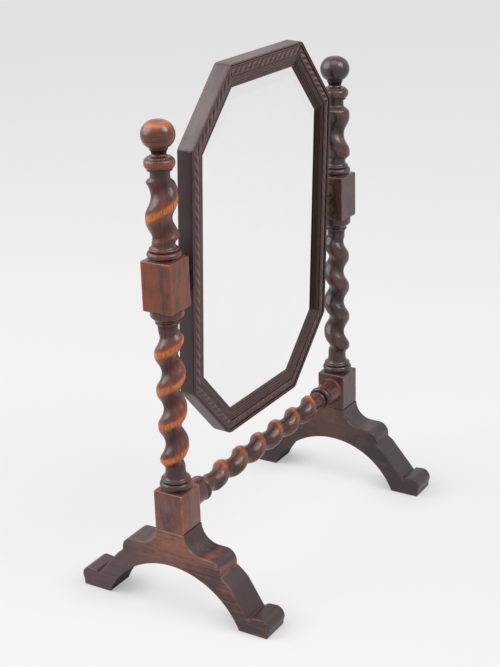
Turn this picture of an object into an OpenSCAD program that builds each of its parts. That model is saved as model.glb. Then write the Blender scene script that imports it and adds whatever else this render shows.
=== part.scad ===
// Dressing table mirror: an octagonal bevelled mirror tilts between two twisted oak posts.
// The origin is on the floor, midway between the feet. +Z is up and the glass faces -Y.

/* [Posts] */
// Gap between the frame and the blocks on each side, which holds the pivots
side_gap = 20.5; // [18:0.5:30]
// Width of the square stock that the posts are turned from
stock_w = 38; // [36:0.5:41]
// Height of the lower blocks, which stand on the legs
lower_block_h = 48.5; // [44:0.5:60]
// Height of the long shafts between the blocks, rings included
lower_shaft_h = 215; // [200:1:250]
// Height of the middle blocks, which carry the mirror
middle_block_h = 57; // [48:0.5:70]
// Height of the short shafts above the middle blocks, rings included
upper_shaft_h = 114.5; // [100:0.5:140]
// Radius of the round tenon below each post
post_tenon_r = 10; // [8:0.5:12]
// Length of the round tenon below each post
post_tenon_l = 30; // [20:1:34]

/* [Twists of the posts] */
// How far the crest of a long twist stays inside the square stock
crest_inset = 2.2; // [0.4:0.1:4]
// How far the crest of a short twist stays inside the square stock
short_crest_inset = 0.8; // [0.4:0.1:4]
// Radius at the bottom of a long twist's groove
groove_r = 9.6; // [8.5:0.1:11]
// Radius at the bottom of a short twist's groove
short_groove_r = 10.9; // [8.5:0.1:12]
// Height of one turn of the left post's long twist
left_lower_pitch = 42.8; // [32:0.1:60]
// Height of one turn of the left post's short twist
left_upper_pitch = 50.8; // [32:0.1:60]
// Height of one turn of the right post's long twist
right_lower_pitch = 41.9; // [32:0.1:60]
// Height of one turn of the right post's short twist
right_upper_pitch = 47.6; // [32:0.1:60]
// Length over which a long twist or the stretcher's fades out at each end
run_out = 12; // [8:0.5:16]
// Length over which a short twist fades out at each end
short_run_out = 8; // [6:0.5:16]
// Direction in which the left post's long twist starts, in degrees
left_lower_start = 44; // [0:1:360]
// Direction in which the left post's short twist starts, in degrees
left_upper_start = 293; // [0:1:360]
// Direction in which the right post's long twist starts, in degrees
right_lower_start = 34; // [0:0.5:360]
// Direction in which the right post's short twist starts, in degrees
right_upper_start = 15.5; // [0:0.5:360]
// How steeply the grooves are cut: 1 is a plain wave
groove_cut = 1.7; // [1:0.1:2.2]
// How flat the crests and the bottoms of the grooves are
groove_flat = 0.33; // [0:0.01:0.5]

/* [Turned rings of the posts] */
// How far the large rings stay inside the square stock
ring_inset = 0.1; // [0.1:0.1:1]
// Height of the large ring above a lower block
lower_ring_h = 8.4; // [6:0.1:10]
// Height of the large ring above a middle block
upper_ring_h = 7.6; // [6:0.1:10]
// How far the large rings bulge
ring_bulge = 4; // [2:0.1:4.5]
// Radius of the flat fillet under a large ring
fillet_r = 17; // [16:0.1:17.8]
// Height of that fillet
fillet_h = 1.5; // [1:0.1:3]
// Radius of the small bead above a lower block's ring
lower_bead_r = 16.9; // [15.5:0.1:17.5]
// Radius of the small bead above a middle block's ring
upper_bead_r = 16.2; // [15.5:0.1:17.5]
// Height of the small beads
bead_h = 3.6; // [2.5:0.1:4.5]
// Radius at the foot of the long flare
lower_flare_r = 15.5; // [14:0.1:16]
// Height of the long flare
lower_flare_h = 10.5; // [8:0.1:14]
// Radius at the foot of the short flare
upper_flare_r = 15; // [14:0.1:16]
// Height of the short flare
upper_flare_h = 4.3; // [3:0.1:8]
// Radius of the neck where a long twist starts
lower_neck_r = 11.5; // [10.8:0.1:13]
// Radius of the neck where a short twist starts
upper_neck_r = 12.7; // [10.8:0.1:13]
// Radius of the neck above a long twist
collar_neck_r = 11.1; // [10.8:0.1:13]
// Height of the neck above a long twist
collar_neck_h = 5; // [3:0.1:8]
// Radius of the bead under a middle block
collar_bead_r = 13.8; // [12.5:0.1:15]
// Height of the wave-shaped collar that opens out under a middle block
collar_h = 7.5; // [5:0.1:10]
// Height of the flat ring under a middle block
collar_ring_h = 5.9; // [4:0.1:8]
// Radius of the neck above a short twist
cap_neck_r = 10.7; // [10.6:0.1:12]
// Height of the neck above a short twist
cap_neck_h = 6.5; // [4:0.1:9]
// Radius of the flat steps under and over a cap's ring
cap_step_r = 13.6; // [12:0.1:15]
// Height of the lower of those steps
cap_step_h = 2.5; // [1.5:0.1:4]
// Radius of a cap's ring
cap_ring_r = 16.9; // [15:0.1:18]
// Height of a cap's ring
cap_ring_h = 10.5; // [8:0.1:12]
// Height of the step over a cap's ring
cap_lip_h = 1.5; // [1:0.1:3]
// Radius of a cap's top, on which the finial sits
cap_top_r = 7.8; // [7:0.1:9]
// Height of the hollow up to a cap's top
cap_hollow_h = 3.5; // [2:0.1:5]

/* [Finials] */
// Radius of the ball from top to bottom
ball_r = 15.7; // [14:0.1:20]
// How much wider than round the ball is at its waist
ball_swell = 2.7; // [0:0.1:3]
// Height of the plain neck below the ball
finial_neck_h = 5; // [1:0.1:6]
// Radius of that neck
finial_neck_r = 8; // [7.5:0.1:9.5]
// Radius of the spigot in the post
spigot_r = 5; // [3.5:0.1:5.5]
// Length of the spigot in the post
spigot_l = 18; // [12:1:20]

/* [Legs] */
// Distance from a post's middle to the tip of its leg's taller toe
tall_reach = 130.5; // [127:0.1:140]
// Distance from a post's middle to the tip of its leg's lower toe
low_reach = 127.6; // [124:0.1:130]
// Thickness of the board of each leg
leg_t = 38; // [36:0.5:42]
// Height of the seat on which a post stands
seat_h = 103.5; // [100:0.5:112]
// How far the seat runs past the post at the front and back
seat_margin = 0.8; // [0:0.1:3]
// Height of the arch under the leg
arch_h = 58.7; // [50:0.1:60]
// Width of the arch at the floor
arch_w = 179; // [165:1:182]
// How far the arch lies toward the taller toe from the middle of the post
arch_set = 1; // [0:0.1:2]
// Radius of the hollow below the seat
cove_r = 23.2; // [20:0.1:25]
// Length of the level stretch between the hollow and the hump, on the taller toe's side
tall_shelf_l = 11.2; // [8:0.1:13]
// Length of that stretch on the lower toe's side
low_shelf_l = 9; // [6:0.1:12]
// Radius of the hump
hump_r = 14; // [11:0.1:16]
// Height of the step below the hump
riser_h = 4.4; // [3:0.1:7]
// Radius of the long sweep from the step down toward the toe
sweep_r = 65.2; // [50:0.1:70]
// Direction in which the sweep faces where it leaves the step, in degrees above level
sweep_start = 59; // [56:0.5:62]
// Height of the taller toe
tall_toe_h = 24.6; // [23:0.1:26]
// Height of the lower toe
low_toe_h = 22.8; // [22:0.1:24]
// Distance of the notch behind the taller toe from the toe's tip
tall_notch_back = 23; // [22.5:0.1:28]
// Distance of the notch behind the lower toe from the toe's tip
low_notch_back = 26.9; // [24:0.1:28]
// Height of the notch behind the taller toe
tall_notch_h = 19.5; // [15:0.1:20]
// Height of the notch behind the lower toe
low_notch_h = 17.8; // [15:0.1:19]
// Distance of a toe's brow from the toe's tip
brow_back = 21; // [18:0.1:22]
// How far a toe's brow lies below the top of the toe
brow_drop = 1.2; // [0.2:0.1:1.8]
// Radius of a toe's round end
toe_r = 11; // [9:0.05:11]
// How far a toe's tip overhangs the sole
toe_tuck = 2.2; // [0.5:0.1:3]

/* [Stretcher] */
// How far the stretcher lies above the middle of the lower blocks
stretcher_rise = 1; // [0:0.1:3]
// Radius of the stretcher's crests
stretcher_crest_r = 14.6; // [11:0.1:16]
// Radius at the bottom of the stretcher's groove
stretcher_groove_r = 8.5; // [5.5:0.1:9.5]
// Length of one turn of the stretcher
stretcher_pitch = 43; // [34:0.5:60]
// Direction in which the crest faces halfway along the stretcher, up from the back, in degrees
stretcher_turn = 327.3; // [0:0.1:360]
// Radius of the bell against a lower block
bell_r = 17; // [15:0.1:18.5]
// Length of the bell
bell_l = 25; // [18:0.5:30]
// Radius at the narrow end of the bell
bell_waist_r = 14.4; // [12:0.1:15.5]
// Radius of the ring beyond the bell
stretcher_ring_r = 15.5; // [13:0.1:17]
// Length of that ring
stretcher_ring_l = 8; // [5:0.1:10]
// Radius of the bead beyond the ring
stretcher_bead_r = 11.4; // [10:0.1:13]
// Length of that bead
stretcher_bead_l = 6; // [4:0.1:8]
// Radius of the neck where the twist starts
stretcher_neck_r = 9; // [8.4:0.1:10]
// Length of that neck
stretcher_neck_l = 4; // [3:0.1:8]
// Radius of the stretcher's tenons
stretcher_tenon_r = 8; // [6:0.5:10]
// Length of the stretcher's tenons
stretcher_tenon_l = 20; // [14:1:24]

/* [Mirror frame] */
// Width of the frame
frame_w = 310; // [260:1:360]
// Height of the frame
frame_h = 442; // [400:1:470]
// Width cut off at each corner
corner_w = 75; // [55:1:90]
// Height cut off at each corner
corner_h = 79.8; // [60:0.2:95]
// Depth of the rails from front to back
frame_d = 20; // [18:0.5:24]
// Width of the rails seen from the front
rail_w = 28; // [27:0.5:32]
// Width of the rebate that holds the glass
rebate_w = 7; // [6:0.5:9]
// Depth of the rebate's lip behind the front of the frame
lip_back = 7; // [6:0.5:10]
// Thickness of that lip at the sight edge
lip_t = 1.2; // [0.8:0.1:2]
// Chamfer along the outer edge
edge_chamfer = 0.8; // [0.3:0.1:1.5]
// Width of the plain band along the outer edge
edge_band_w = 2; // [1.8:0.1:3]
// Width of the fine grooves beside the mouldings
quirk_w = 0.6; // [0.4:0.1:1]
// Width of the outer bead
outer_bead_w = 1.8; // [1.2:0.1:2.4]
// Width of the carved band
carved_w = 9.2; // [8:0.1:10]
// How far the carved band swells
carved_rise = 1.2; // [0.8:0.1:2]
// How far the carved band lies behind the front
carved_set = 0.4; // [0:0.1:1]
// Number of reeds inside the carved band
reed_count = 3; // [1:1:3]
// Width of each reed
reed_w = 1.9; // [1.4:0.1:2.1]
// How far the first reed lies behind the front
reed_set = 2.2; // [1.8:0.1:3]
// How far each next reed steps back
reed_step = 0.4; // [0.2:0.1:0.8]
// How far the slope down to the glass is hollowed
slope_hollow = 0.6; // [0:0.1:1]
// How far the pivot lies above the middle of the frame
pivot_rise = 4; // [2:0.1:10]
// Forward lean of the mirror, in degrees
lean = 2.4; // [0:0.1:8]

/* [Glass and back] */
// Thickness of the glass
glass_t = 4; // [3:0.1:4.5]
// Gap between the glass and the rebate, filled by the packing blocks
glass_gap = 2; // [1:0.1:3]
// Width of the bevel that shows
bevel_w = 12.5; // [8:0.5:20]
// Thickness that the bevel takes off at the edge
bevel_drop = 1.2; // [0.6:0.1:1.6]
// Length of each packing block
packing_l = 30; // [20:1:50]
// Thickness of the backboard
board_t = 4; // [3:0.1:4.2]
// Gap between the glass and the backboard
board_gap = 2.3; // [1.6:0.1:2.6]
// Gap around the backboard
board_clear = 0.5; // [0.2:0.1:1]
// Thickness of the square sprigs
sprig_t = 1.4; // [1:0.1:1.5]
// Length of the sprigs
sprig_l = 12; // [8:1:16]
// Depth to which the sprigs are driven into the rails
sprig_in = 6; // [4:0.5:8]
// Thickness of the keys across the mitres
key_t = 2.5; // [1.5:0.1:3.5]
// Length of the keys across the mitres
key_l = 20; // [14:1:24]
// Width of the keys along the mitres
key_w = 11; // [7:0.5:12]
// Distance of the keys from the outer corners
key_in = 8; // [7:0.5:9]
// Height of the keys above the back of the frame
key_up = 6; // [4:0.5:8]

/* [Pivots] */
// Thickness of the brass plates
plate_t = 2; // [1.5:0.1:3]
// Length of the brass plates
plate_l = 40; // [36:1:50]
// Width of the brass plates
plate_w = 16; // [13:0.5:17.5]
// Radius of the pivot pins
pin_r = 3; // [2:0.1:4]
// Gap between a pin's end and the block
pin_end_gap = 1; // [0.5:0.1:2]
// Radius of the shoulder that the washer sits on
shoulder_r = 5.5; // [5:0.1:7]
// Radius of the bored boss on a socket plate
boss_r = 6; // [5:0.1:7]
// Length of the bored boss
boss_l = 7.9; // [5:0.1:9]
// Radius of the friction washers
washer_r = 6; // [5:0.1:7]
// Thickness of the friction washers
washer_t = 2; // [1:0.1:3]
// Distance of the screws from the pivot
screw_spread = 13; // [11:0.5:15]
// Radius of the screws' shanks
screw_r = 1.5; // [1:0.1:2]
// Radius of the screws' heads
screw_head_r = 3; // [2.4:0.1:3.6]
// Length of the screws
screw_l = 14; // [8:1:16]
// Width of the slots in the screws' heads
slot_w = 0.7; // [0.5:0.1:1]
// Depth of the slots in the screws' heads
slot_d = 0.6; // [0.3:0.1:0.8]

/* [Clearances] */
// Radial gap of the glued round joints
glue_gap = 0.1; // [0.05:0.01:0.2]
// Extra depth of the holes for tenons and spigots
end_gap = 1; // [0.5:0.1:2]
// Radial gap of the pivot pins in their bores
pin_gap = 0.05; // [0.02:0.01:0.1]
// Gap between the washers and the bosses
pivot_play = 0.1; // [0.05:0.01:0.3]
// Gap around keys, sprigs, packing blocks and screws
slip_gap = 0.05; // [0.02:0.01:0.1]

/* [Hidden] */
$fn = 64;
stock_r = stock_w / 2;
post_x = frame_w / 2 + side_gap + stock_r;
ring_r = stock_r - ring_inset;
crest_r = stock_r - crest_inset;
short_crest_r = stock_r - short_crest_inset;
lower_block_top = seat_h + lower_block_h;
middle_block_z = lower_block_top + lower_shaft_h;
middle_block_top = middle_block_z + middle_block_h;
post_top = middle_block_top + upper_shaft_h;
pivot_z = middle_block_z + middle_block_h / 2;
stretcher_z = seat_h + lower_block_h / 2 + stretcher_rise;
stretcher_end = post_x - stock_r;
// Rings and tenons run this far into the block or the bell that they grow from
sink = 1;
// A twist starts this deep inside the neck that it grows from, and a little slimmer than the neck
twist_sink = 2;
twist_slim = 0.15;
twist_sides = 16;
twist_rings = 12;
// Glass, board and sprigs measured up from the back of the frame
lip_z = frame_d - lip_back;
glass_in = rail_w - rebate_w + glass_gap;
bevel_full = rail_w - glass_in + bevel_w;
glass_front = lip_z - slip_gap + bevel_drop * bevel_w / bevel_full;
glass_back = glass_front - glass_t;
board_front = glass_back - board_gap;
board_back = board_front - board_t;
// Rows of the turned rings: kind, height, radius at the start, radius at the end or at the bulge
lower_base = [["band", fillet_h, fillet_r, fillet_r],
    ["bead", lower_ring_h, ring_r - ring_bulge, ring_r],
    ["bead", bead_h, lower_bead_r - bead_h / 2, lower_bead_r],
    ["cove", lower_flare_h, lower_flare_r, lower_neck_r]];
lower_collar = [["band", collar_neck_h, collar_neck_r, collar_neck_r],
    ["bead", bead_h, collar_neck_r, collar_bead_r],
    ["wave", collar_h, collar_bead_r, ring_r],
    ["band", collar_ring_h, ring_r, ring_r]];
upper_base = [["band", fillet_h, fillet_r, fillet_r],
    ["bead", upper_ring_h, ring_r - ring_bulge, ring_r],
    ["bead", bead_h, upper_bead_r - bead_h / 2, upper_bead_r],
    ["cove", upper_flare_h, upper_flare_r, upper_neck_r]];
upper_cap = [["band", cap_neck_h, cap_neck_r, cap_neck_r],
    ["band", cap_step_h, cap_step_r, cap_step_r],
    ["bead", cap_ring_h, cap_step_r, cap_ring_r],
    ["band", cap_lip_h, cap_step_r, cap_step_r],
    ["cove", cap_hollow_h, cap_step_r, cap_top_r]];
stretcher_base = [["cove", bell_l, bell_r, bell_waist_r],
    ["bead", stretcher_ring_l, stretcher_ring_r - stretcher_ring_l / 2, stretcher_ring_r],
    ["bead", stretcher_bead_l, stretcher_neck_r, stretcher_bead_r],
    ["band", stretcher_neck_l, stretcher_neck_r, stretcher_neck_r]];

function rows_h(rows, i = 0) = i < len(rows) ? rows[i][1] + rows_h(rows, i + 1) : 0;
function bead(z, h, r0, r1) =
    [for (a = [-90:15:90]) [r0 + (r1 - r0) * cos(a), z + h / 2 * (1 + sin(a))]];
function wave(z, h, r0, r1) =
    [for (t = [0:0.1:1]) [r0 + (r1 - r0) * (1 - cos(180 * t)) / 2, z + h * t]];
// A cove leaves the wider end level and reaches the narrower end upright
function cove(z, h, r0, r1) =
    [for (a = [0:15:90]) [r0 - (r0 - r1) * sin(a), z + h * (1 - cos(a))]];
function row_points(row, z) =
    row[0] == "bead" ? bead(z, row[1], row[2], row[3]) :
    row[0] == "wave" ? wave(z, row[1], row[2], row[3]) :
    row[0] == "cove" ? cove(z, row[1], row[2], row[3]) :
    [[row[2], z], [row[3], z + row[1]]];
function rows_points(rows, z, i = 0) =
    i < len(rows) ? concat(row_points(rows[i], z), rows_points(rows, z + rows[i][1], i + 1)) : [];

// A stack of rings, which may run on into what is below and above it
module turned(z, rows, below = 0, above = 0) {
    end = z + rows_h(rows);
    r0 = rows[0][2];
    r1 = rows[len(rows) - 1][3];
    rotate_extrude()
        polygon(concat([[0, z - below]], below > 0 ? [[r0, z - below]] : [], rows_points(rows, z),
            above > 0 ? [[r1, end + above]] : [], [[0, end + above]]));
}

// A twist is a round bar with one wide groove, whose direction turns with the height
function fade(d, run) = d >= run ? 1 : d <= 0 ? 0 : (1 - cos(180 * d / run)) / 2;
function groove_share(a) = pow((1 - cos(a + groove_flat * 180 / PI * sin(a))) / 2, groove_cut);
function twist_ring(z, turn, crest, groove) =
    [for (j = [0:twist_sides - 1])
        let (a = 360 * j / twist_sides, r = crest - (crest - groove) * groove_share(a - turn))
        [r * cos(a), r * sin(a), z]];

module twist(z, h, crest, groove, end0, end1, pitch, start, hand, run) {
    steps = ceil((h + 2 * twist_sink) / pitch * twist_rings);
    n = twist_sides;
    points = [for (i = [0:steps])
        let (d = -twist_sink + (h + 2 * twist_sink) * i / steps, share = fade(min(d, h - d), run),
            end_r = (d < h / 2 ? end0 : end1) - twist_slim)
        each twist_ring(z + d, start + hand * 360 * d / pitch, end_r + (crest - end_r) * share,
            end_r + (groove - end_r) * share)];
    sides = [for (i = [0:steps - 1], j = [0:n - 1])
        let (k = (j + 1) % n)
        each [[i * n + j, (i + 1) * n + k, i * n + k], [i * n + j, (i + 1) * n + j, (i + 1) * n + k]]];
    caps = [[for (j = [0:n - 1]) j], [for (j = [n - 1:-1:0]) steps * n + j]];
    polyhedron(points, concat(sides, caps));
}

// The cut between the rings below and above it is [crest radius, groove radius, pitch, run-out]
module shaft(z, h, base, top, neck0, neck1, start, hand, cut, above) {
    z0 = z + rows_h(base);
    z1 = z + h - rows_h(top);
    turned(z, base, below = sink);
    twist(z0, z1 - z0, cut[0], cut[1], neck0, neck1, cut[2], start, hand, cut[3]);
    turned(z1, top, above = above);
}

module block(z, h) {
    translate([-stock_r, -stock_r, z])
        cube([stock_w, stock_w, h]);
}

// The stock for the right-hand post: its stretcher and its plate are on the -X side
module post(hand, lower_start, upper_start, lower_pitch, upper_pitch) {
    difference() {
        union() {
            translate([0, 0, seat_h - post_tenon_l])
                cylinder(r = post_tenon_r, h = post_tenon_l + sink);
            block(seat_h, lower_block_h);
            shaft(lower_block_top, lower_shaft_h, lower_base, lower_collar, lower_neck_r, collar_neck_r,
                lower_start, hand, [crest_r, groove_r, lower_pitch, run_out], sink);
            block(middle_block_z, middle_block_h);
            shaft(middle_block_top, upper_shaft_h, upper_base, upper_cap, upper_neck_r, cap_neck_r,
                upper_start, hand, [short_crest_r, short_groove_r, upper_pitch, short_run_out], 0);
        }
        translate([0, 0, post_top - spigot_l - end_gap])
            cylinder(r = spigot_r + glue_gap, h = spigot_l + 2 * end_gap);
    }
}

module on_side(side) {
    mirror([side < 0 ? 1 : 0, 0, 0])
        children();
}

module post_holes() {
    translate([stretcher_end - end_gap, 0, stretcher_z])
        rotate([0, 90, 0])
            cylinder(r = stretcher_tenon_r + glue_gap, h = stretcher_tenon_l + 2 * end_gap);
    translate([stretcher_end - plate_t, 0, pivot_z])
        screw_pair()
            screw_space();
}

module placed_post(side, hand, lower_start, upper_start, lower_pitch, upper_pitch) {
    color("#4a2c1c")
        difference() {
            translate([side * post_x, 0, 0])
                post(hand, lower_start, upper_start, lower_pitch, upper_pitch);
            on_side(side)
                post_holes();
        }
}

module left_post()
    placed_post(-1, 1, left_lower_start, left_upper_start, left_lower_pitch, left_upper_pitch);
module right_post()
    placed_post(1, -1, right_lower_start, right_upper_start, right_lower_pitch, right_upper_pitch);

module finial(side) {
    neck_z = post_top + finial_neck_h;
    ball_z = neck_z + sqrt(pow(ball_r, 2) - pow(finial_neck_r - ball_swell, 2));
    color("#6b3118")
        translate([side * post_x, 0, 0])
            rotate_extrude() {
                translate([0, post_top - spigot_l])
                    square([spigot_r, spigot_l + finial_neck_h]);
                translate([0, post_top])
                    square([finial_neck_r, finial_neck_h]);
                translate([0, neck_z])
                    square([ball_swell, ball_z - neck_z + ball_r]);
                intersection() {
                    translate([ball_swell, ball_z])
                        circle(ball_r);
                    translate([0, neck_z])
                        square([ball_swell + ball_r, 2 * ball_r]);
                }
            }
}

module left_finial() finial(-1);
module right_finial() finial(1);

// A leg's outline runs from the middle of the seat down to each toe
seat_half = stock_r + seat_margin;
shelf_z = seat_h - cove_r;
arch_r = (pow(arch_h, 2) + pow(arch_w / 2, 2)) / (2 * arch_h);

// A straight back runs from the notch up into the sweep, and ends this deep inside it
flare_sink = 1.5;
// The toe's flat sides end this deep inside its round end
toe_sink = 0.15;

// The direction is that of the sweep's tangent from the notch
function flare_top(centre, notch) =
    let (d = notch - centre, a = atan2(d[1], d[0]) + acos(sweep_r / norm(d)))
    centre + (sweep_r - flare_sink) * [cos(a), sin(a)];

module leg_half_outline(reach, shelf_l, toe_h, notch_back, notch_h) {
    hump_x = seat_half + cove_r + shelf_l;
    sweep_top = [hump_x + hump_r, shelf_z - hump_r - riser_h];
    sweep_centre = sweep_top - sweep_r * [cos(sweep_start), sin(sweep_start)];
    notch = [reach - notch_back, notch_h];
    toe = [reach - toe_r, toe_h - toe_r];
    foot_x = arch_w / 2 - toe_r;
    toe_in = toe_r - toe_sink;
    square([hump_x, shelf_z]);
    difference() {
        square([seat_half + cove_r, seat_h]);
        translate([seat_half + cove_r, seat_h])
            circle(cove_r);
    }
    translate([hump_x, shelf_z - hump_r])
        circle(hump_r);
    square([hump_x + hump_r, shelf_z - hump_r]);
    intersection() {
        translate(sweep_centre)
            circle(sweep_r);
        square([reach, sweep_top[1]]);
    }
    polygon([sweep_centre, notch, flare_top(sweep_centre, notch)]);
    polygon([[foot_x, 0], [reach - toe_tuck, 0], toe + toe_in * [cos(30), -sin(30)], toe, toe + [0, toe_in],
        [reach - brow_back, toe_h - brow_drop], notch, [foot_x, notch_h]]);
    translate(toe)
        circle(toe_r);
}

module leg_outline() {
    difference() {
        union() {
            leg_half_outline(tall_reach, tall_shelf_l, tall_toe_h, tall_notch_back, tall_notch_h);
            mirror([1, 0])
                leg_half_outline(low_reach, low_shelf_l, low_toe_h, low_notch_back, low_notch_h);
        }
        translate([arch_set, arch_h - arch_r])
            circle(arch_r);
    }
}

// The left leg's taller toe is at the back and the right leg's at the front
module leg(side) {
    color("#3a231a")
        translate([side * post_x, 0, 0])
            difference() {
                rotate([90, 0, -90 * side])
                    translate([0, 0, -leg_t / 2])
                        linear_extrude(leg_t)
                            leg_outline();
                translate([0, 0, seat_h - post_tenon_l - end_gap])
                    cylinder(r = post_tenon_r + glue_gap, h = post_tenon_l + 2 * end_gap);
            }
}

module left_leg() leg(-1);
module right_leg() leg(1);

module stretcher_half() {
    translate([0, 0, -stretcher_end]) {
        turned(0, stretcher_base);
        translate([0, 0, -stretcher_tenon_l])
            cylinder(r = stretcher_tenon_r, h = stretcher_tenon_l + sink);
    }
}

module stretcher() {
    span = 2 * (stretcher_end - rows_h(stretcher_base));
    color("#5a3018")
        translate([0, 0, stretcher_z])
            rotate([90, 0, 90]) {
                twist(-span / 2, span, stretcher_crest_r, stretcher_groove_r,
                    stretcher_neck_r, stretcher_neck_r,
                    stretcher_pitch, stretcher_turn + 180 * span / stretcher_pitch, -1, run_out);
                stretcher_half();
                mirror([0, 0, 1])
                    stretcher_half();
            }
}

// Screws lie along +X with the top of the head at x = 0
head_h = screw_head_r - screw_r;

module screw_body(gap) {
    rotate([0, 90, 0]) {
        cylinder(r1 = screw_head_r + gap, r2 = screw_r + gap, h = head_h);
        cylinder(r = screw_r + gap, h = screw_l + gap);
    }
}

module screw_pair() {
    for (end = [-1, 1])
        translate([0, 0, end * screw_spread])
            children();
}

module screw_space() screw_body(slip_gap);

module screw() {
    difference() {
        screw_body(0);
        translate([-1, -slot_w / 2, -screw_head_r - 1])
            cube([slot_d + 1, slot_w, 2 * screw_head_r + 2]);
    }
}

// A plate with rounded ends and screw holes, from x = 0 to x = plate_t, heads on the x = 0 side
module plate() {
    difference() {
        rotate([0, 90, 0])
            linear_extrude(plate_t)
                for (end = [-1, 1]) {
                    translate([end * (plate_l - plate_w) / 2, 0])
                        circle(plate_w / 2);
                    translate([-(plate_l - plate_w) / 2, -plate_w / 2])
                        square([plate_l - plate_w, plate_w]);
                }
        screw_pair()
            screw_space();
    }
}

module socket_plate(side) {
    color("#b08d4a")
        on_side(side)
            translate([stretcher_end - plate_t, 0, pivot_z])
                difference() {
                    union() {
                        plate();
                        translate([-boss_l, 0, 0])
                            rotate([0, 90, 0])
                                cylinder(r = boss_r, h = boss_l);
                    }
                    translate([-boss_l - 1, 0, 0])
                        rotate([0, 90, 0])
                            cylinder(r = pin_r + pin_gap, h = boss_l + plate_t + 2);
                }
}

module left_socket_plate() socket_plate(-1);
module right_socket_plate() socket_plate(1);

module socket_plate_screws() {
    color("#9a7b3e")
        for (side = [-1, 1])
            on_side(side)
                translate([stretcher_end - plate_t, 0, pivot_z])
                    screw_pair()
                        screw();
}

// Everything on the mirror leans about the pivot
module leaning() {
    translate([0, 0, pivot_z])
        rotate([lean, 0, 0])
            children();
}

shoulder_l = side_gap - 2 * plate_t - washer_t - boss_l - pivot_play;

module pin_plate(side) {
    color("#b08d4a")
        leaning()
            on_side(side)
                translate([frame_w / 2, 0, 0]) {
                    translate([plate_t, 0, 0])
                        mirror([1, 0, 0])
                            plate();
                    rotate([0, 90, 0]) {
                        translate([0, 0, plate_t])
                            cylinder(r = shoulder_r, h = shoulder_l);
                        translate([0, 0, plate_t])
                            cylinder(r = pin_r, h = side_gap - plate_t - pin_end_gap);
                    }
                }
}

module left_pin_plate() pin_plate(-1);
module right_pin_plate() pin_plate(1);

module pin_plate_screws() {
    color("#9a7b3e")
        leaning()
            for (side = [-1, 1])
                on_side(side)
                    translate([frame_w / 2 + plate_t, 0, 0])
                        mirror([1, 0, 0])
                            screw_pair()
                                screw();
}

module friction_washer(side) {
    color("#3b2a1c")
        leaning()
            on_side(side)
                translate([frame_w / 2 + plate_t + shoulder_l, 0, 0])
                    rotate([0, 90, 0])
                        difference() {
                            cylinder(r = washer_r, h = washer_t);
                            translate([0, 0, -1])
                                cylinder(r = pin_r + glue_gap, h = washer_t + 2);
                        }
}

module left_friction_washer() friction_washer(-1);
module right_friction_washer() friction_washer(1);

// The mirror drawn flat: x to the right, y up, z out of the front, back of the frame at z = 0
module upright() {
    leaning()
        translate([0, 0, -pivot_rise])
            rotate([90, 0, 0])
                translate([0, 0, -frame_d / 2])
                    children();
}

half_w = frame_w / 2;
half_h = frame_h / 2;
// Outer corners, counter-clockwise from the right end of the bottom rail
corners = [[half_w - corner_w, -half_h], [half_w, -half_h + corner_h],
    [half_w, half_h - corner_h], [half_w - corner_w, half_h],
    [-half_w + corner_w, half_h], [-half_w, half_h - corner_h],
    [-half_w, -half_h + corner_h], [-half_w + corner_w, -half_h]];

function along(i) = let (d = corners[(i + 1) % 8] - corners[i % 8]) d / norm(d);
function inward(i) = let (e = along(i)) [-e[1], e[0]];
// Sum of the inward normals of the two rails at a corner, scaled to move both of them in by 1
function bisector(i) =
    let (a = inward(i + 7), b = inward(i)) (a + b) / (1 + a * b);
function inset(i, d) = corners[i % 8] + d * bisector(i);
function octagon(d) = [for (i = [0:7]) inset(i, d)];
function rail_l(i) = norm(corners[(i + 1) % 8] - corners[i % 8]);
function rail_angle(i) = let (e = along(i)) atan2(e[1], e[0]);

// Places along a rail's section, measured in from its outer face
outer_bead_s = edge_band_w + quirk_w + outer_bead_w / 2;
carved_s = outer_bead_s + outer_bead_w / 2 + quirk_w;
reeds_s = carved_s + carved_w + quirk_w;
slope_s = reeds_s + reed_count * reed_w;
carved_edge = frame_d - carved_set - carved_rise;
carved_arc_r = (pow(carved_w / 2, 2) + pow(carved_rise, 2)) / (2 * carved_rise);

// Heights of the beads' centres, and of the floors between them, which lie a little higher
floor_rise = 0.2;
outer_bead_z = frame_d - outer_bead_w / 2;
function reed_z(k) = frame_d - reed_set - k * reed_step - reed_w / 2;
function slope_points() =
    let (a = [rail_w, lip_z + lip_t], b = [slope_s, reed_z(reed_count - 1) + floor_rise])
    [for (t = [0:0.125:1]) a + (b - a) * t - [0, slope_hollow * sin(180 * t)]];

module rail_section() {
    polygon(concat([[0, 0], [rail_w - rebate_w, 0], [rail_w - rebate_w, lip_z], [rail_w, lip_z]],
        slope_points(),
        [for (k = [reed_count - 1:-1:0]) each [[reeds_s + (k + 1) * reed_w, reed_z(k) + floor_rise],
            [k > 0 ? reeds_s + k * reed_w : carved_s + carved_w, reed_z(k) + floor_rise]]],
        [[carved_s + carved_w, carved_edge + floor_rise], [carved_s, carved_edge + floor_rise],
        [carved_s, outer_bead_z + floor_rise], [edge_band_w, outer_bead_z + floor_rise],
        [edge_band_w, frame_d], [edge_chamfer, frame_d], [0, frame_d - edge_chamfer]]));
    translate([outer_bead_s, outer_bead_z])
        circle(outer_bead_w / 2);
    intersection() {
        translate([carved_s + carved_w / 2, frame_d - carved_set - carved_arc_r])
            circle(carved_arc_r);
        translate([carved_s, lip_z])
            square([carved_w, lip_back]);
    }
    for (k = [0:reed_count - 1])
        translate([reeds_s + (k + 0.5) * reed_w, reed_z(k)])
            circle(reed_w / 2);
}

// Draws its children with x along rail i and y inwards from its outer face
module at_rail(i) {
    translate([corners[i][0], corners[i][1], 0])
        rotate([0, 0, rail_angle(i)])
            children();
}

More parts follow.
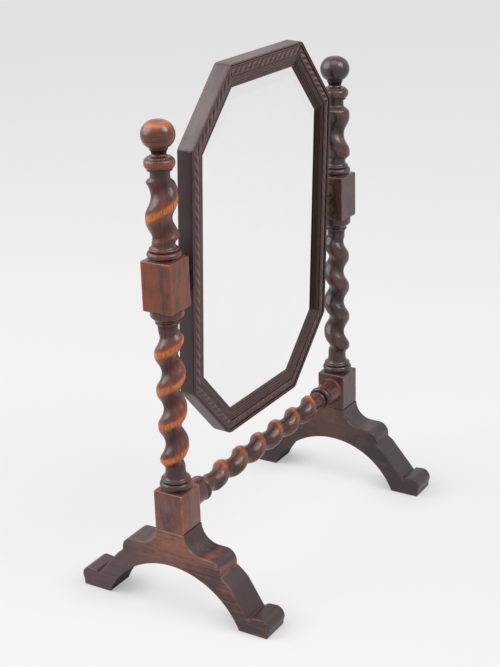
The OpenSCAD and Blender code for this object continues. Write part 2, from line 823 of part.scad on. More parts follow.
module key(i, gap) {
    a = bisector(i);
    translate([corners[i][0], corners[i][1], key_up - gap])
        rotate([0, 0, atan2(a[1], a[0])])
            translate([key_in - gap, -key_l / 2 - gap, 0])
                cube([key_w + 2 * gap, key_l + 2 * gap, key_t + 2 * gap]);
}

// Two sprigs a quarter of the way in from each end of a rail
module sprigs(i, gap) {
    at_rail(i)
        for (share = [0.25, 0.75])
            translate([rail_l(i) * share - sprig_t / 2 - gap, rail_w - rebate_w - sprig_in - gap,
                board_back - slip_gap - sprig_t - gap])
                cube([sprig_t + 2 * gap, sprig_l + 2 * gap, sprig_t + 2 * gap]);
}

module rail(i) {
    spare = 5;
    color("#33201a")
        upright()
            difference() {
                intersection() {
                    at_rail(i)
                        rotate([90, 0, 90])
                            linear_extrude(rail_l(i))
                                rail_section();
                    translate([0, 0, -1])
                        linear_extrude(frame_d + 2)
                            polygon([inset(i, -spare), inset(i + 1, -spare), inset(i + 1, rail_w + spare),
                                inset(i, rail_w + spare)]);
                }
                key(i, slip_gap);
                key((i + 1) % 8, slip_gap);
                sprigs(i, slip_gap);
            }
}

module side_rail(i, side) {
    difference() {
        rail(i);
        leaning()
            on_side(side)
                translate([frame_w / 2 + plate_t, 0, 0])
                    mirror([1, 0, 0])
                        screw_pair()
                            screw_space();
    }
}

module frame_lower_right_rail() rail(0);
module frame_right_rail() side_rail(1, 1);
module frame_upper_right_rail() rail(2);
module frame_top_rail() rail(3);
module frame_upper_left_rail() rail(4);
module frame_left_rail() side_rail(5, -1);
module frame_lower_left_rail() rail(6);
module frame_bottom_rail() rail(7);

module corner_keys() {
    color("#7a5a3a")
        upright()
            for (i = [0:7])
                key(i, 0);
}

// The plate glass: its back, the top of its edge and its flat front are three octagons
module mirror_glass() {
    rings = [[glass_in, glass_back], [glass_in, glass_front - bevel_drop],
        [glass_in + bevel_full, glass_front]];
    points = [for (ring = rings, i = [0:7]) let (p = inset(i, ring[0])) [p[0], p[1], ring[1]]];
    sides = [for (ring = [0, 8], i = [0:7])
        let (k = (i + 1) % 8) [ring + i, ring + 8 + i, ring + 8 + k, ring + k]];
    color("#c8d0d2")
        upright()
            polyhedron(points, concat([[for (i = [0:7]) i]], sides, [[for (i = [23:-1:16]) i]]));
}

module glass_packing_blocks() {
    color("#b08a5c")
        upright()
            for (i = [0:7])
                at_rail(i)
                    translate([(rail_l(i) - packing_l) / 2, rail_w - rebate_w + slip_gap,
                        board_front + slip_gap])
                        cube([packing_l, glass_gap - 2 * slip_gap, lip_z - board_front - 2 * slip_gap]);
}

module backboard() {
    color("#6e4a2e")
        upright()
            translate([0, 0, board_back])
                linear_extrude(board_t)
                    polygon(octagon(rail_w - rebate_w + board_clear));
}

module backboard_sprigs() {
    color("#3c3a38")
        upright()
            for (i = [0:7])
                sprigs(i, 0);
}

left_leg();
right_leg();
left_post();
right_post();
left_finial();
right_finial();
stretcher();
left_socket_plate();
right_socket_plate();
socket_plate_screws();
frame_top_rail();
frame_upper_right_rail();
frame_right_rail();
frame_lower_right_rail();
frame_bottom_rail();
frame_lower_left_rail();
frame_left_rail();
frame_upper_left_rail();
corner_keys();
mirror_glass();
glass_packing_blocks();
backboard();
backboard_sprigs();
left_pin_plate();
right_pin_plate();
pin_plate_screws();
left_friction_washer();
right_friction_washer();
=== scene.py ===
# %% [markdown]
# # A dressing table mirror, piece by piece
# The photograph shows a small octagonal mirror that tilts between two twisted oak posts.
# The posts stand on arched legs and are tied together by a twisted stretcher.
# The CAD model already has every size, so it is loaded first and never moved.
# Each visible piece is then made again with the rounding, carving, grain and wear of the real one.

# %% Load the frame and keep its box
import math

import bpy
import numpy as np
from mathutils import Matrix, Vector
from mathutils.geometry import delaunay_2d_cdt, tessellate_polygon


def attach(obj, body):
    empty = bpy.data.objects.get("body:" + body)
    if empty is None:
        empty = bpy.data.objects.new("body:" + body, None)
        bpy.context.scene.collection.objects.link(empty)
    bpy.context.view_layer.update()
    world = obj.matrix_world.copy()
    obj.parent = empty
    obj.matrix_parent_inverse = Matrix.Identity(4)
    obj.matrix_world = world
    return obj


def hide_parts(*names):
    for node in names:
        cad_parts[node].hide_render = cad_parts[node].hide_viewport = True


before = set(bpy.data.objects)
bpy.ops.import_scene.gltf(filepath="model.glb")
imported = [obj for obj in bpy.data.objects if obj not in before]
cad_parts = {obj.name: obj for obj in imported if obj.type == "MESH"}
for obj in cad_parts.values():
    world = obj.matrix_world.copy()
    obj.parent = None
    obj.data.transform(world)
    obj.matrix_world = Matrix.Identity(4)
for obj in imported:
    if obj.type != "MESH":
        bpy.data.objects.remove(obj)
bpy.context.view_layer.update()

# %% [markdown]
# ## The camera
# A photograph is rebuilt from the place where it was taken.
# The camera looks down a little from the left, so the near post stands in front and the far one behind.
# A long lens keeps the perspective gentle.
# The place, turn and lens were fitted to corners of the blocks and feet.

# %% The camera
def in_scene(name, data):
    """A new object of the scene, made of a mesh, a lamp or a camera."""
    made = bpy.data.objects.new(name, data)
    bpy.context.scene.collection.objects.link(made)
    return made


def direction(azimuth, elevation):
    """Points from the object towards a viewer. Azimuth 0 is the front and 90 is the right."""
    turn, level = math.radians(azimuth), math.radians(elevation)
    return Vector((math.sin(turn) * math.cos(level), -math.cos(turn) * math.cos(level), math.sin(level)))


AIM = Vector((-0.013255, 0.007853, 0.274594))
DISTANCE = 1.71905
back = direction(-58.2735, 20.99)
roll = math.radians(-1.787)
level_right = (-back).cross(Vector((0, 0, 1))).normalized()
level_up = level_right.cross(-back)
right = level_right * math.cos(roll) + level_up * math.sin(roll)
up = level_up * math.cos(roll) - level_right * math.sin(roll)
camera = in_scene("camera", bpy.data.cameras.new("camera"))
turned = Matrix((right, up, back)).transposed().to_4x4()
camera.matrix_world = Matrix.Translation(AIM + back * DISTANCE) @ turned
camera.data.lens = 76.985
camera.data.sensor_width = 36
bpy.context.scene.camera = camera
print("camera at", camera.matrix_world.translation)

# %% [markdown]
# ## Numbers in a node tree
# Rules such as a twist or a carved lobe are sums of sines and distances.
# Both geometry trees and material trees do sums with Math nodes, which are tedious to place one by one.
# A small class lets the sums be written as plain arithmetic: each + or * adds one Math node.

# %% Arithmetic that builds Math nodes
class Wire:
    """The output of a node, which can be added, multiplied and so on."""

    def __init__(self, socket):
        self.tree = socket.id_data
        self.socket = socket

    def math(self, operation, *others):
        return math_node(self.tree, operation, self, *others)

    def __add__(self, other):
        return self.math("ADD", other)

    def __sub__(self, other):
        return self.math("SUBTRACT", other)

    def __rsub__(self, other):
        return math_node(self.tree, "SUBTRACT", other, self)

    def __mul__(self, other):
        return self.math("MULTIPLY", other)

    def __truediv__(self, other):
        return self.math("DIVIDE", other)

    def __pow__(self, other):
        return self.math("POWER", other)

    __radd__ = __add__
    __rmul__ = __mul__


def plug(value, place):
    """Puts a wire, a socket or a constant into a node's input."""
    if isinstance(value, Wire):
        value = value.socket
    if isinstance(value, bpy.types.NodeSocket):
        place.id_data.links.new(value, place)
    else:
        place.default_value = value


def fill(made, **inputs):
    """Plugs inputs of a node, named with _ for a space."""
    for label, value in inputs.items():
        plug(value, made.inputs[label.replace("_", " ")])


def node(tree, kind, settings=None, **inputs):
    """Adds a node, sets its options and fills its inputs."""
    made = tree.nodes.new(kind)
    for option, value in (settings or {}).items():
        setattr(made, option, value)
    fill(made, **inputs)
    return made


def math_node(tree, operation, *values):
    made = node(tree, "ShaderNodeMath", {"operation": operation})
    for place, value in zip(made.inputs, values):
        plug(value, place)
    return Wire(made.outputs[0])


def between(wire, low, high):
    """Rises smoothly from 0 at low to 1 at high."""
    made = node(wire.tree, "ShaderNodeMapRange", {"interpolation_type": "SMOOTHSTEP"},
                Value=wire, From_Min=low, From_Max=high)
    return Wire(made.outputs["Result"])


# %% [markdown]
# ## Shells, and how worn each point is
# A piece is gathered from simple closed shells: turned rings, blocks, a twist.
# Each point also says how worn it is, how much it is darkened (in hollows, and as painted shade), and where
# it lies in its board's grain.
# The finish reads these numbers, so that wear lies on the real edges and grain runs the right way.

# %% Shells
MM = 0.001


class Shell:
    """Points in millimetres, faces, and the wear and the darkening (hollows and painted shade) at each point.
    """

    def __init__(self, points, faces, wear=0.0, grime_and_shade=0.0):
        self.points = np.array(points, float)
        self.faces = [tuple(int(corner) for corner in face) for face in faces]
        self.wear = np.zeros(len(self.points)) + wear
        self.grime_and_shade = np.zeros(len(self.points)) + grime_and_shade

    def placed(self, matrix):
        """The same shell after a move or a turn. A mirrored one has its faces turned round."""
        turn = np.array(matrix.to_3x3())
        points = self.points @ turn.T + np.array(matrix.translation)
        faces = self.faces if matrix.determinant() > 0 else [face[::-1] for face in self.faces]
        return Shell(points, faces, self.wear, self.grime_and_shade)


def gather(shells):
    """Several shells as one."""
    starts = np.cumsum([0] + [len(shell.points) for shell in shells])
    faces = [tuple(corner + start for corner in face)
             for shell, start in zip(shells, starts) for face in shell.faces]
    return Shell(np.vstack([shell.points for shell in shells]), faces,
                 np.concatenate([shell.wear for shell in shells]),
                 np.concatenate([shell.grime_and_shade for shell in shells]))


def weld(shell, decimals=3):
    """Joins points that lie in the same place."""
    rounded = np.round(shell.points, decimals)
    _, first, index = np.unique(rounded, axis=0, return_index=True, return_inverse=True)
    index = np.asarray(index).ravel()
    faces = [tuple(index[corner] for corner in face) for face in shell.faces]
    faces = [face for face in faces if len(set(face)) == len(face)]
    return Shell(shell.points[first], faces, shell.wear[first], shell.grime_and_shade[first])


def ring_faces(rings, around):
    """Four-sided faces that join closed rings of points, one ring after another."""
    return [(i * around + j, i * around + (j + 1) % around, (i + 1) * around + (j + 1) % around,
             (i + 1) * around + j) for i in range(rings - 1) for j in range(around)]


def fade(distance, reach, power=2.0):
    """1 at no distance, about a third at the reach, and near 0 far beyond it."""
    return np.exp(-np.abs(distance / reach) ** power)


# %% From a shell to a piece of the mirror
def store(mesh, name, values, kind="FLOAT"):
    attribute = mesh.attributes.new(name, kind, "POINT")
    field = "value" if kind == "FLOAT" else "vector"
    attribute.data.foreach_set(field, np.asarray(values, np.float32).ravel())


def read(mesh, name):
    values = np.zeros(len(mesh.vertices), np.float32)
    mesh.attributes[name].data.foreach_get("value", values)
    return values


def places(mesh):
    values = np.zeros(len(mesh.vertices) * 3, np.float32)
    mesh.vertices.foreach_get("co", values)
    return values.reshape(-1, 3).astype(float)


def make_piece(name, shell, grain, finish, slot, body, *nodes, dust_and_sheen=0.0, sharp=38):
    """One mesh object in metres, riding on its body and standing for its CAD nodes."""
    mesh = bpy.data.meshes.new(name)
    mesh.from_pydata((shell.points * MM).tolist(), [], shell.faces)
    store(mesh, "wear", shell.wear)
    # The grime layer darkens hollows and carries painted shade; the dust layer is a grey bloom, partly dust
    # and partly painted sheen.
    store(mesh, "grime_and_shade", shell.grime_and_shade)
    store(mesh, "dust_and_sheen", np.zeros(len(shell.points)) + dust_and_sheen)
    store(mesh, "grain", np.asarray(grain) * MM, "FLOAT_VECTOR")
    mesh.shade_smooth()
    mesh.set_sharp_from_angle(angle=math.radians(sharp))
    mesh.materials.append(finish)
    piece = in_scene(name, mesh)
    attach(piece, body)
    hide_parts(*nodes)
    print(name, "has", len(mesh.polygons), "faces")


# %% [markdown]
# ## Oak under old dark polish
# The oak is stained nearly black and polished, so pale surroundings lie on it as a grey sheen.
# Hands and dusters have worn the crests and edges down to orange-brown wood. Hollows are darkened, and so,
# as painted shade, are the insides of the leg arches and the frame's slopes to the glass.
# The colour is built in layers: a ground that runs from dark to warm in patches, worn wood with fine
# dark lines where the piece is marked as worn, then the pores, a grey bloom that is partly dust and partly
# painted sheen, and last the darkening of hollows and of painted shade.

# %% Nodes for finishes
def new_finish(name):
    finish = bpy.data.materials.new(name)
    finish.use_nodes = True
    tree = finish.node_tree
    return finish, tree, tree.nodes["Principled BSDF"]


def attribute(tree, name, output="Fac"):
    return Wire(node(tree, "ShaderNodeAttribute", {"attribute_name": name}).outputs[output])


def object_place(tree):
    return Wire(node(tree, "ShaderNodeTexCoord").outputs["Object"])


def noise(place, per_metre, detail=2.0, roughness=0.5, distortion=0.0):
    """Soft random spots, so many per metre along x, y and z of the place."""
    mapping = node(place.tree, "ShaderNodeMapping", Vector=place, Scale=per_metre)
    spots = node(place.tree, "ShaderNodeTexNoise", Vector=mapping.outputs["Vector"], Scale=1, Detail=detail,
                 Roughness=roughness, Distortion=distortion)
    return Wire(spots.outputs["Fac"])


def blend(share, first, second):
    """A colour between two colours."""
    mix = node(share.tree, "ShaderNodeMix", {"data_type": "RGBA"},
               Factor=share, A=rgba(first), B=rgba(second))
    return mix.outputs["Result"]


def rgba(colour):
    return (*colour, 1) if isinstance(colour, tuple) else colour


def bump(shader, height, depth):
    relief = node(height.tree, "ShaderNodeBump", Distance=depth, Strength=1, Height=height)
    fill(shader, Normal=relief.outputs["Normal"])


# %% The oak finish
def oak(name, dark, warm, worn, gloss, streaks, mottle, dust_and_sheen_tint=(0.068, 0.040, 0.052)):
    """Dark to warm polish and worn wood, with fine streaks along the grain and softer mottled patches."""
    finish, tree, shader = new_finish(name)
    grain = attribute(tree, "grain", "Vector")
    wear, grime_and_shade, dust_and_sheen = (attribute(tree, label) for label in ("wear", "grime_and_shade", "dust_and_sheen"))
    patches = noise(grain, (26, 55, 55), detail=5, roughness=0.68)
    blotches = noise(grain, (75, 110, 110), detail=3, roughness=0.6)
    clouds = noise(grain, (7, 16, 16), detail=2, roughness=0.5, distortion=0.6)
    streak = noise(grain, (28, 620, 620), detail=3, roughness=0.6)
    dents = noise(grain, (35, 90, 90), detail=2)
    pores = between(noise(grain, (110, 1700, 1700), detail=1), 0.55, 0.68)
    uneven = (patches + blotches * 0.7 - 0.85) * mottle + (streak - 0.5) * streaks
    warmth = between(uneven + (clouds - 0.5) * 0.9 + wear * 0.85, -0.12, 0.42)
    bare = between(uneven + wear, 0.42, 0.86)
    lines = between(streak + (patches - 0.5) * 0.6, 0.42, 0.66) * 0.75
    # A grey bloom over the colour, partly dust and partly painted sheen.
    dust_and_sheen_share = dust_and_sheen * between(clouds + (patches - 0.5) * 1.1, 0.2, 0.65)
    # The darkest tone: for pores, and for the darkening of hollows and of painted shade.
    pores_grime_and_shade_dark = tuple(channel * 0.4 for channel in dark)
    colour = blend(warmth, dark, warm)
    colour = blend(bare, colour, blend(lines, worn, warm))
    colour = blend(pores * (bare * 0.3 + 0.2), colour, pores_grime_and_shade_dark)
    colour = blend(dust_and_sheen_share, colour, dust_and_sheen_tint)
    # Hollows and painted shade are darkened here, and below their specular level drops as well.
    colour = blend(between(grime_and_shade, 0.05, 1.0) * 0.85, colour, pores_grime_and_shade_dark)
    rough = (patches - 0.5) * 0.22 + gloss + pores * 0.08 + grime_and_shade * 0.2 + dust_and_sheen * 0.08 + bare * 0.06
    fill(shader, Base_Color=colour, Roughness=rough, Specular_IOR_Level=0.5 - grime_and_shade * 0.42)
    bump(shader, streak * 0.25 - pores * 0.35 + dents, 0.00012)
    return finish


# The tint at the end of some calls is the grey bloom, partly dust and partly painted sheen.
turned_oak = oak("Turned oak under dark polish", (0.038, 0.017, 0.017), (0.20, 0.043, 0.015),
                 (0.60, 0.163, 0.024), gloss=0.27, streaks=0.8, mottle=0.75, dust_and_sheen_tint=(0.19, 0.085, 0.078))
dull_oak = oak("Turned oak, darker", (0.026, 0.015, 0.016), (0.080, 0.030, 0.020), (0.26, 0.09, 0.045),
               gloss=0.22, streaks=0.35, mottle=1.3)
leg_oak = oak("Leg oak under dark polish", (0.036, 0.017, 0.017), (0.20, 0.066, 0.038), (0.36, 0.15, 0.075),
              gloss=0.34, streaks=1.3, mottle=1.0)
dull_leg_oak = oak("Leg oak, darker", (0.024, 0.014, 0.015), (0.085, 0.030, 0.021), (0.17, 0.07, 0.04),
                   gloss=0.32, streaks=1.0, mottle=1.1)
finial_oak = oak("Finial oak, redder", (0.050, 0.018, 0.014), (0.21, 0.050, 0.018), (0.52, 0.17, 0.04),
                 gloss=0.26, streaks=0.9, mottle=0.9)
frame_oak = oak("Frame oak under dark polish", (0.040, 0.019, 0.020), (0.085, 0.036, 0.032),
                (0.19, 0.118, 0.085), gloss=0.36, streaks=1.0, mottle=1.1, dust_and_sheen_tint=(0.120, 0.084, 0.078))
print("oak finishes:", [finish.name for finish in (turned_oak, dull_oak, leg_oak, dull_leg_oak, finial_oak,
                                                   frame_oak)])

# %% [markdown]
# ## Turned work
# Each post starts as square stock. Between the square blocks it is turned on a lathe,
# so rings and necks are drawn as a half outline and spun about the post's axis.
# The outline is given in short rows (a bead, a cove, a wave or a plain band), as a turner would call them.

# %% Rows of a turned outline
def bead(z, height, foot, top, worn=0.05):
    angles = np.radians(np.linspace(-90, 90, 17))
    return [(foot + (top - foot) * math.cos(a), z + height / 2 * (1 + math.sin(a)),
             worn * math.cos(a) ** 3, 0.7 * (1 - math.cos(a)) ** 2) for a in angles]


def cove(z, height, foot, top):
    angles = np.radians(np.linspace(0, 90, 13))
    return [(foot - (foot - top) * math.sin(a), z + height * (1 - math.cos(a)),
             0.15 * (1 - math.sin(a)), 0.0) for a in angles]


def wave(z, height, foot, top):
    shares = np.linspace(0, 1, 14)
    return [(foot + (top - foot) * (1 - math.cos(math.pi * t)) / 2, z + height * t,
             0.05 * t ** 2, 0.3 * (1 - t)) for t in shares]


def band(z, height, foot, top):
    return [(foot, z, 0.0, 0.25), (top, z + height, 0.0, 0.1)]


def outline(z, rows):
    points = []
    for kind, height, *shape in rows:
        points += kind(z, height, *shape)
        z += height
    return points


def soften(points, radius):
    """Rounds the corners of a line of points. Extra numbers of a point are carried along."""
    points = np.array(points, float)
    soft = [points[0]]
    for before, here, after in zip(points, points[1:], points[2:]):
        a, b = before[:2] - here[:2], after[:2] - here[:2]
        la, lb = np.linalg.norm(a), np.linalg.norm(b)
        if min(la, lb) < 1e-6:
            continue
        straight = -(a @ b) / (la * lb)
        if straight > 0.9:
            soft.append(here)
            continue
        start = here + (before - here) * min(radius, la * 0.45) / la
        end = here + (after - here) * min(radius, lb * 0.45) / lb
        for t in (0, 0.33, 0.67, 1):
            soft.append((1 - t) ** 2 * start + 2 * t * (1 - t) * here + t * t * end)
    return np.array(soft + [points[-1]])


# %% Spin an outline on the lathe
SIDES = 64


def lathe(points):
    """Spins points (radius, height, wear, darkening) about Z. Both ends close at the axis."""
    points = np.array(points, float)
    angles = np.linspace(0, 2 * math.pi, SIDES, endpoint=False)
    circle = np.stack([np.cos(angles), np.sin(angles)], 1)
    rings = [np.column_stack([circle * radius, np.full(SIDES, z)]) for radius, z in points[:, :2]]
    tips = [[0, 0, points[0, 1]], [0, 0, points[-1, 1]]]
    last = (len(points) - 1) * SIDES
    faces = ring_faces(len(points), SIDES)
    faces += [(last + SIDES, (j + 1) % SIDES, j) for j in range(SIDES)]
    faces += [(last + SIDES + 1, last + j, last + (j + 1) % SIDES) for j in range(SIDES)]
    wear, grime_and_shade = (np.append(np.repeat(points[:, k], SIDES), [0, 0]) for k in (2, 3))
    return Shell(np.vstack(rings + [tips]), faces, wear, grime_and_shade)


def turned_grain(points, axis, radius):
    """Grain for turned work: along the axis and round it, so that fibres stay fine lines on every slope."""
    first, second = (axis + 1) % 3, (axis + 2) % 3
    round_x, round_y = points[:, first], points[:, second]
    reach = np.maximum(np.hypot(round_x, round_y), 1e-6)
    return np.stack([points[:, axis], round_x / reach * radius, round_y / reach * radius], 1)


# %% [markdown]
# ## The twists
# A barley twist is a round bar with one wide groove cut round it like a screw thread,
# so each cross-section is nearly a circle with one side hollowed, and it turns as it goes up.
# Near its ends the groove runs out into a round neck.
# That is a rule, so a Geometry Nodes tree makes it: a cylinder whose points are moved by sums of sines.
# The tree also notes how far each point lies below the crest, because hands and dusters have worn
# the polish through just there, and how deep it lies in the groove, which the finish darkens.

# %% Geometry trees with named sizes
def new_tree(name, sizes):
    """A Geometry Nodes tree with a mesh, some named numbers and a material as inputs."""
    tree = bpy.data.node_groups.new(name, "GeometryNodeTree")
    tree.interface.new_socket("Mesh", in_out="INPUT", socket_type="NodeSocketGeometry")
    tree.interface.new_socket("Mesh", in_out="OUTPUT", socket_type="NodeSocketGeometry")
    for label in sizes:
        tree.interface.new_socket(label, in_out="INPUT", socket_type="NodeSocketFloat")
    tree.interface.new_socket("Material", in_out="INPUT", socket_type="NodeSocketMaterial")
    inputs = tree.nodes.new("NodeGroupInput")
    return tree, {output.name: Wire(output) for output in inputs.outputs if output.name}


def note(mesh, name, value):
    """Stores a number at each point under a name."""
    stored = node(value.tree, "GeometryNodeStoreNamedAttribute", {"data_type": "FLOAT", "domain": "POINT"},
                  Geometry=mesh, Name=name, Value=value)
    return stored.outputs["Geometry"]


def close_tree(tree, mesh, material):
    """Every tree ends the same way: real points, and a material."""
    real = node(tree, "GeometryNodeRealizeInstances", Geometry=mesh)
    painted = node(tree, "GeometryNodeSetMaterial", Geometry=real.outputs[0], Material=material)
    node(tree, "NodeGroupOutput", Mesh=painted.outputs[0])


def grow(tree, sizes, material, mesh=None):
    """Runs a tree on a mesh and gives back the plain mesh that it made."""
    holder = in_scene(tree.name, mesh or bpy.data.meshes.new(tree.name))
    modifier = holder.modifiers.new(tree.name, "NODES")
    modifier.node_group = tree
    for item in tree.interface.items_tree:
        if item.in_out == "INPUT" and item.name in sizes:
            modifier[item.identifier] = float(sizes[item.name])
        if item.in_out == "INPUT" and item.name == "Material":
            modifier[item.identifier] = material
    depsgraph = bpy.context.evaluated_depsgraph_get()
    made = bpy.data.meshes.new_from_object(holder.evaluated_get(depsgraph), depsgraph=depsgraph)
    holder.modifiers.clear()
    bpy.data.objects.remove(holder)
    return made


# %% The tree of a twisted shaft
shaft_tree, size = new_tree("Twisted shaft", ["Length", "Crest", "Groove", "First neck", "Last neck", "Pitch",
                                              "Start", "Hand", "Run out", "Cut", "Flat"])
bar = node(shaft_tree, "GeometryNodeMeshCylinder", {"fill_type": "TRIANGLE_FAN"}, Vertices=SIDES,
           Side_Segments=200, Radius=1.0, Depth=1.0)
spot = node(shaft_tree, "ShaderNodeSeparateXYZ",
            Vector=node(shaft_tree, "GeometryNodeInputPosition").outputs[0])
spot_x, spot_y, spot_z = (Wire(output) for output in spot.outputs)
height = (spot_z + 0.5) * size["Length"]
first_half = height.math("LESS_THAN", size["Length"] * 0.5)
neck = size["Last neck"] + (size["First neck"] - size["Last neck"]) * first_half
from_end = height.math("MINIMUM", size["Length"] - height)
swell = (from_end / size["Run out"]).math("MINIMUM", 1.0)
swell = 0.5 - (swell * math.pi).math("COSINE") * 0.5
turn = size["Start"] + size["Hand"] * (height / size["Pitch"]) * (2 * math.pi)
facing = turn.math("COSINE") * spot_x + turn.math("SINE") * spot_y
sideways = turn.math("COSINE") * spot_y - turn.math("SINE") * spot_x
angle = sideways.math("ARCTAN2", facing)
groove_share = (0.5 - (angle + size["Flat"] * sideways).math("COSINE") * 0.5) ** size["Cut"]
radius = neck + (size["Crest"] + (size["Groove"] - size["Crest"]) * groove_share - neck) * swell
wound = node(shaft_tree, "ShaderNodeCombineXYZ", X=radius * spot_x, Y=radius * spot_y, Z=height)
mesh = note(bar.outputs["Mesh"], "groove share", groove_share)
mesh = note(mesh, "below crest", angle * size["Hand"] * size["Pitch"] / (2 * math.pi))
mesh = note(mesh, "swell", swell)
moved = node(shaft_tree, "GeometryNodeSetPosition", Geometry=mesh, Position=wound.outputs[0])
close_tree(shaft_tree, moved.outputs[0], size["Material"])


def twist(length, crest, groove, necks, pitch, start, hand, run_out, finish, worn, worn_below, worn_half):
    """A twisted shaft from z = 0 to z = length, worn in a band on the crest or just below it."""
    mesh = grow(shaft_tree, {"Length": length, "Crest": crest, "Groove": groove, "First neck": necks[0],
                             "Last neck": necks[1], "Pitch": pitch, "Start": math.radians(start),
                             "Hand": hand, "Run out": run_out, "Cut": 1.7, "Flat": 0.33}, finish)
    points = places(mesh)
    faces = [tuple(polygon.vertices) for polygon in mesh.polygons]
    share, below, swell = (read(mesh, label) for label in ("groove share", "below crest", "swell"))
    wear = (0.08 + worn * fade(below - worn_below, worn_half, 1.7)) * swell
    grime_and_shade = np.clip(share - 0.6, 0, 1) * 1.1 * swell
    bpy.data.meshes.remove(mesh)
    return Shell(points, faces, wear, grime_and_shade)


# %% [markdown]
# ## Square blocks
# The blocks between the turned parts keep the square stock. Their edges are softened by hand,
# and the polish is worn thin there, so each point knows how far it is from the nearest edge.

# %% Blocks with softened edges
def rounded_block(low, high, radius, worn_width):
    """A block whose faces have close rows of points by the edges, where the wear fades."""
    low, high = np.array(low, float), np.array(high, float)
    half, centre = (high - low) / 2, (high + low) / 2
    edge = np.append(radius * np.array([0, 0.42, 0.73, 1]), radius + np.array([0.6, 1.3, 2.3, 3.8, 6]))
    sides = []
    for h in half:
        inner = np.linspace(-h + edge[-1], h - edge[-1], max(3, int(h)))
        sides.append(np.concatenate([-h + edge[:-1], inner, (h - edge[:-1])[::-1]]))
    points, faces = [], []
    for axis in range(3):
        u, v = (axis + 1) % 3, (axis + 2) % 3
        grid_u, grid_v = np.meshgrid(sides[u], sides[v], indexing="ij")
        for side in (-1, 1):
            face = np.zeros(grid_u.shape + (3,))
            face[..., axis] = side * half[axis]
            face[..., u] = grid_u
            face[..., v] = grid_v
            start = sum(len(p) for p in points)
            points.append(face.reshape(-1, 3))
            rows, columns = grid_u.shape
            for i in range(rows - 1):
                for j in range(columns - 1):
                    a = start + i * columns + j
                    quad = (a, a + columns, a + columns + 1, a + 1)
                    faces.append(quad if side > 0 else quad[::-1])
    points = np.vstack(points)
    inner = np.clip(points, -(half - radius), half - radius)
    out = points - inner
    out /= np.linalg.norm(out, axis=1)[:, None]
    gap = half - np.abs(points)
    from_upright, from_level = np.maximum(gap[:, 0], gap[:, 1]), gap[:, 2]
    wear = 0.22 + 0.48 * fade(from_upright, worn_width, 1.4) + 0.15 * fade(from_level, worn_width, 1.4)
    return weld(Shell(inner + out * radius + centre, faces, wear), 4)


# %% [markdown]
# ## The posts
# From the leg upwards a post has a round tenon, a lower block that takes the stretcher, rings, a long twist,
# more rings, a middle block that carries the mirror, rings, a short twist and a cap for the finial.
# The two posts are a pair: the left one winds one way and the right one the other way.
# The right one gets the darker finish and less worn crests.

# %% The posts
POST_X = 194.5
SEAT = 103.5
LOWER_TOP = SEAT + 48.5
MIDDLE_LOW = LOWER_TOP + 215
MIDDLE_TOP = MIDDLE_LOW + 57
POST_TOP = MIDDLE_TOP + 114.5
HALF_STOCK = 19.0
RING = 18.9
TENON_R, TENON_DEEP = 10, 30
lower_base = [(band, 1.5, 17, 17), (bead, 8.4, 14.9, RING), (bead, 3.6, 15.1, 16.9), (cove, 10.5, 15.5, 11.5)]
collar = [(band, 5, 11.1, 11.1), (bead, 3.6, 11.1, 13.8), (wave, 7.5, 13.8, RING), (band, 5.9, RING, RING)]
upper_base = [(band, 1.5, 17, 17), (bead, 7.6, 14.9, RING), (bead, 3.6, 14.4, 16.2), (cove, 4.3, 15, 12.7)]
cap = [(band, 6.5, 10.7, 10.7), (band, 2.5, 13.6, 13.6), (bead, 10.5, 13.6, 16.9, 0.5),
       (band, 1.5, 13.6, 13.6), (cove, 3.5, 13.6, 7.8)]


def rows_height(rows):
    return sum(row[1] for row in rows)


def shaft(low, high, base, top, necks, cut, hand, worn, finish):
    """Rings, a twist and rings. The cut is the twist's crest, groove, pitch, start and run-out."""
    base_h, top_h = rows_height(base), rows_height(top)
    crest, groove, pitch, start, run_out = cut
    winding = twist(high - low - base_h - top_h, crest, groove, necks, pitch, start, hand, run_out,
                    finish, worn, worn_below=2.4, worn_half=5.6)
    return [lathe(soften(outline(low, base), 0.4)), lathe(soften(outline(high - top_h, top), 0.4)),
            winding.placed(Matrix.Translation((0, 0, low + base_h)))]


def worn_block(low, high, worn_width, front, back):
    """A square block, with more or less wear on its front and towards the back of its left side."""
    block = rounded_block((-HALF_STOCK, -HALF_STOCK, low), (HALF_STOCK, HALF_STOCK, high), 1.5, worn_width)
    x, y, _ = block.points.T
    block.wear += front * (y < 0.1 - HALF_STOCK)
    block.wear += back * (x < 0.1 - HALF_STOCK) * np.clip(y / 7 + 0.4, -1, 1)
    return block


def post(hand, lower_cut, upper_cut, worn, finish):
    shells = [lathe([(TENON_R, SEAT - TENON_DEEP, 0, 0), (TENON_R, SEAT + 1, 0, 0)]),
              worn_block(SEAT, LOWER_TOP, 2.8, 0.1, 0.0),
              worn_block(MIDDLE_LOW, MIDDLE_TOP, 1.7, -0.12, 0.14)]
    shells += shaft(LOWER_TOP, MIDDLE_LOW, lower_base, collar, (11.5, 11.1), lower_cut, hand, worn, finish)
    shells += shaft(MIDDLE_TOP, POST_TOP, upper_base, cap, (12.7, 10.7), upper_cut, hand, worn, finish)
    return gather(shells)


def at_side(side):
    """The move from the middle to the left post, at side -1, or to the right one."""
    return Matrix.Translation((side * POST_X, 0, 0))


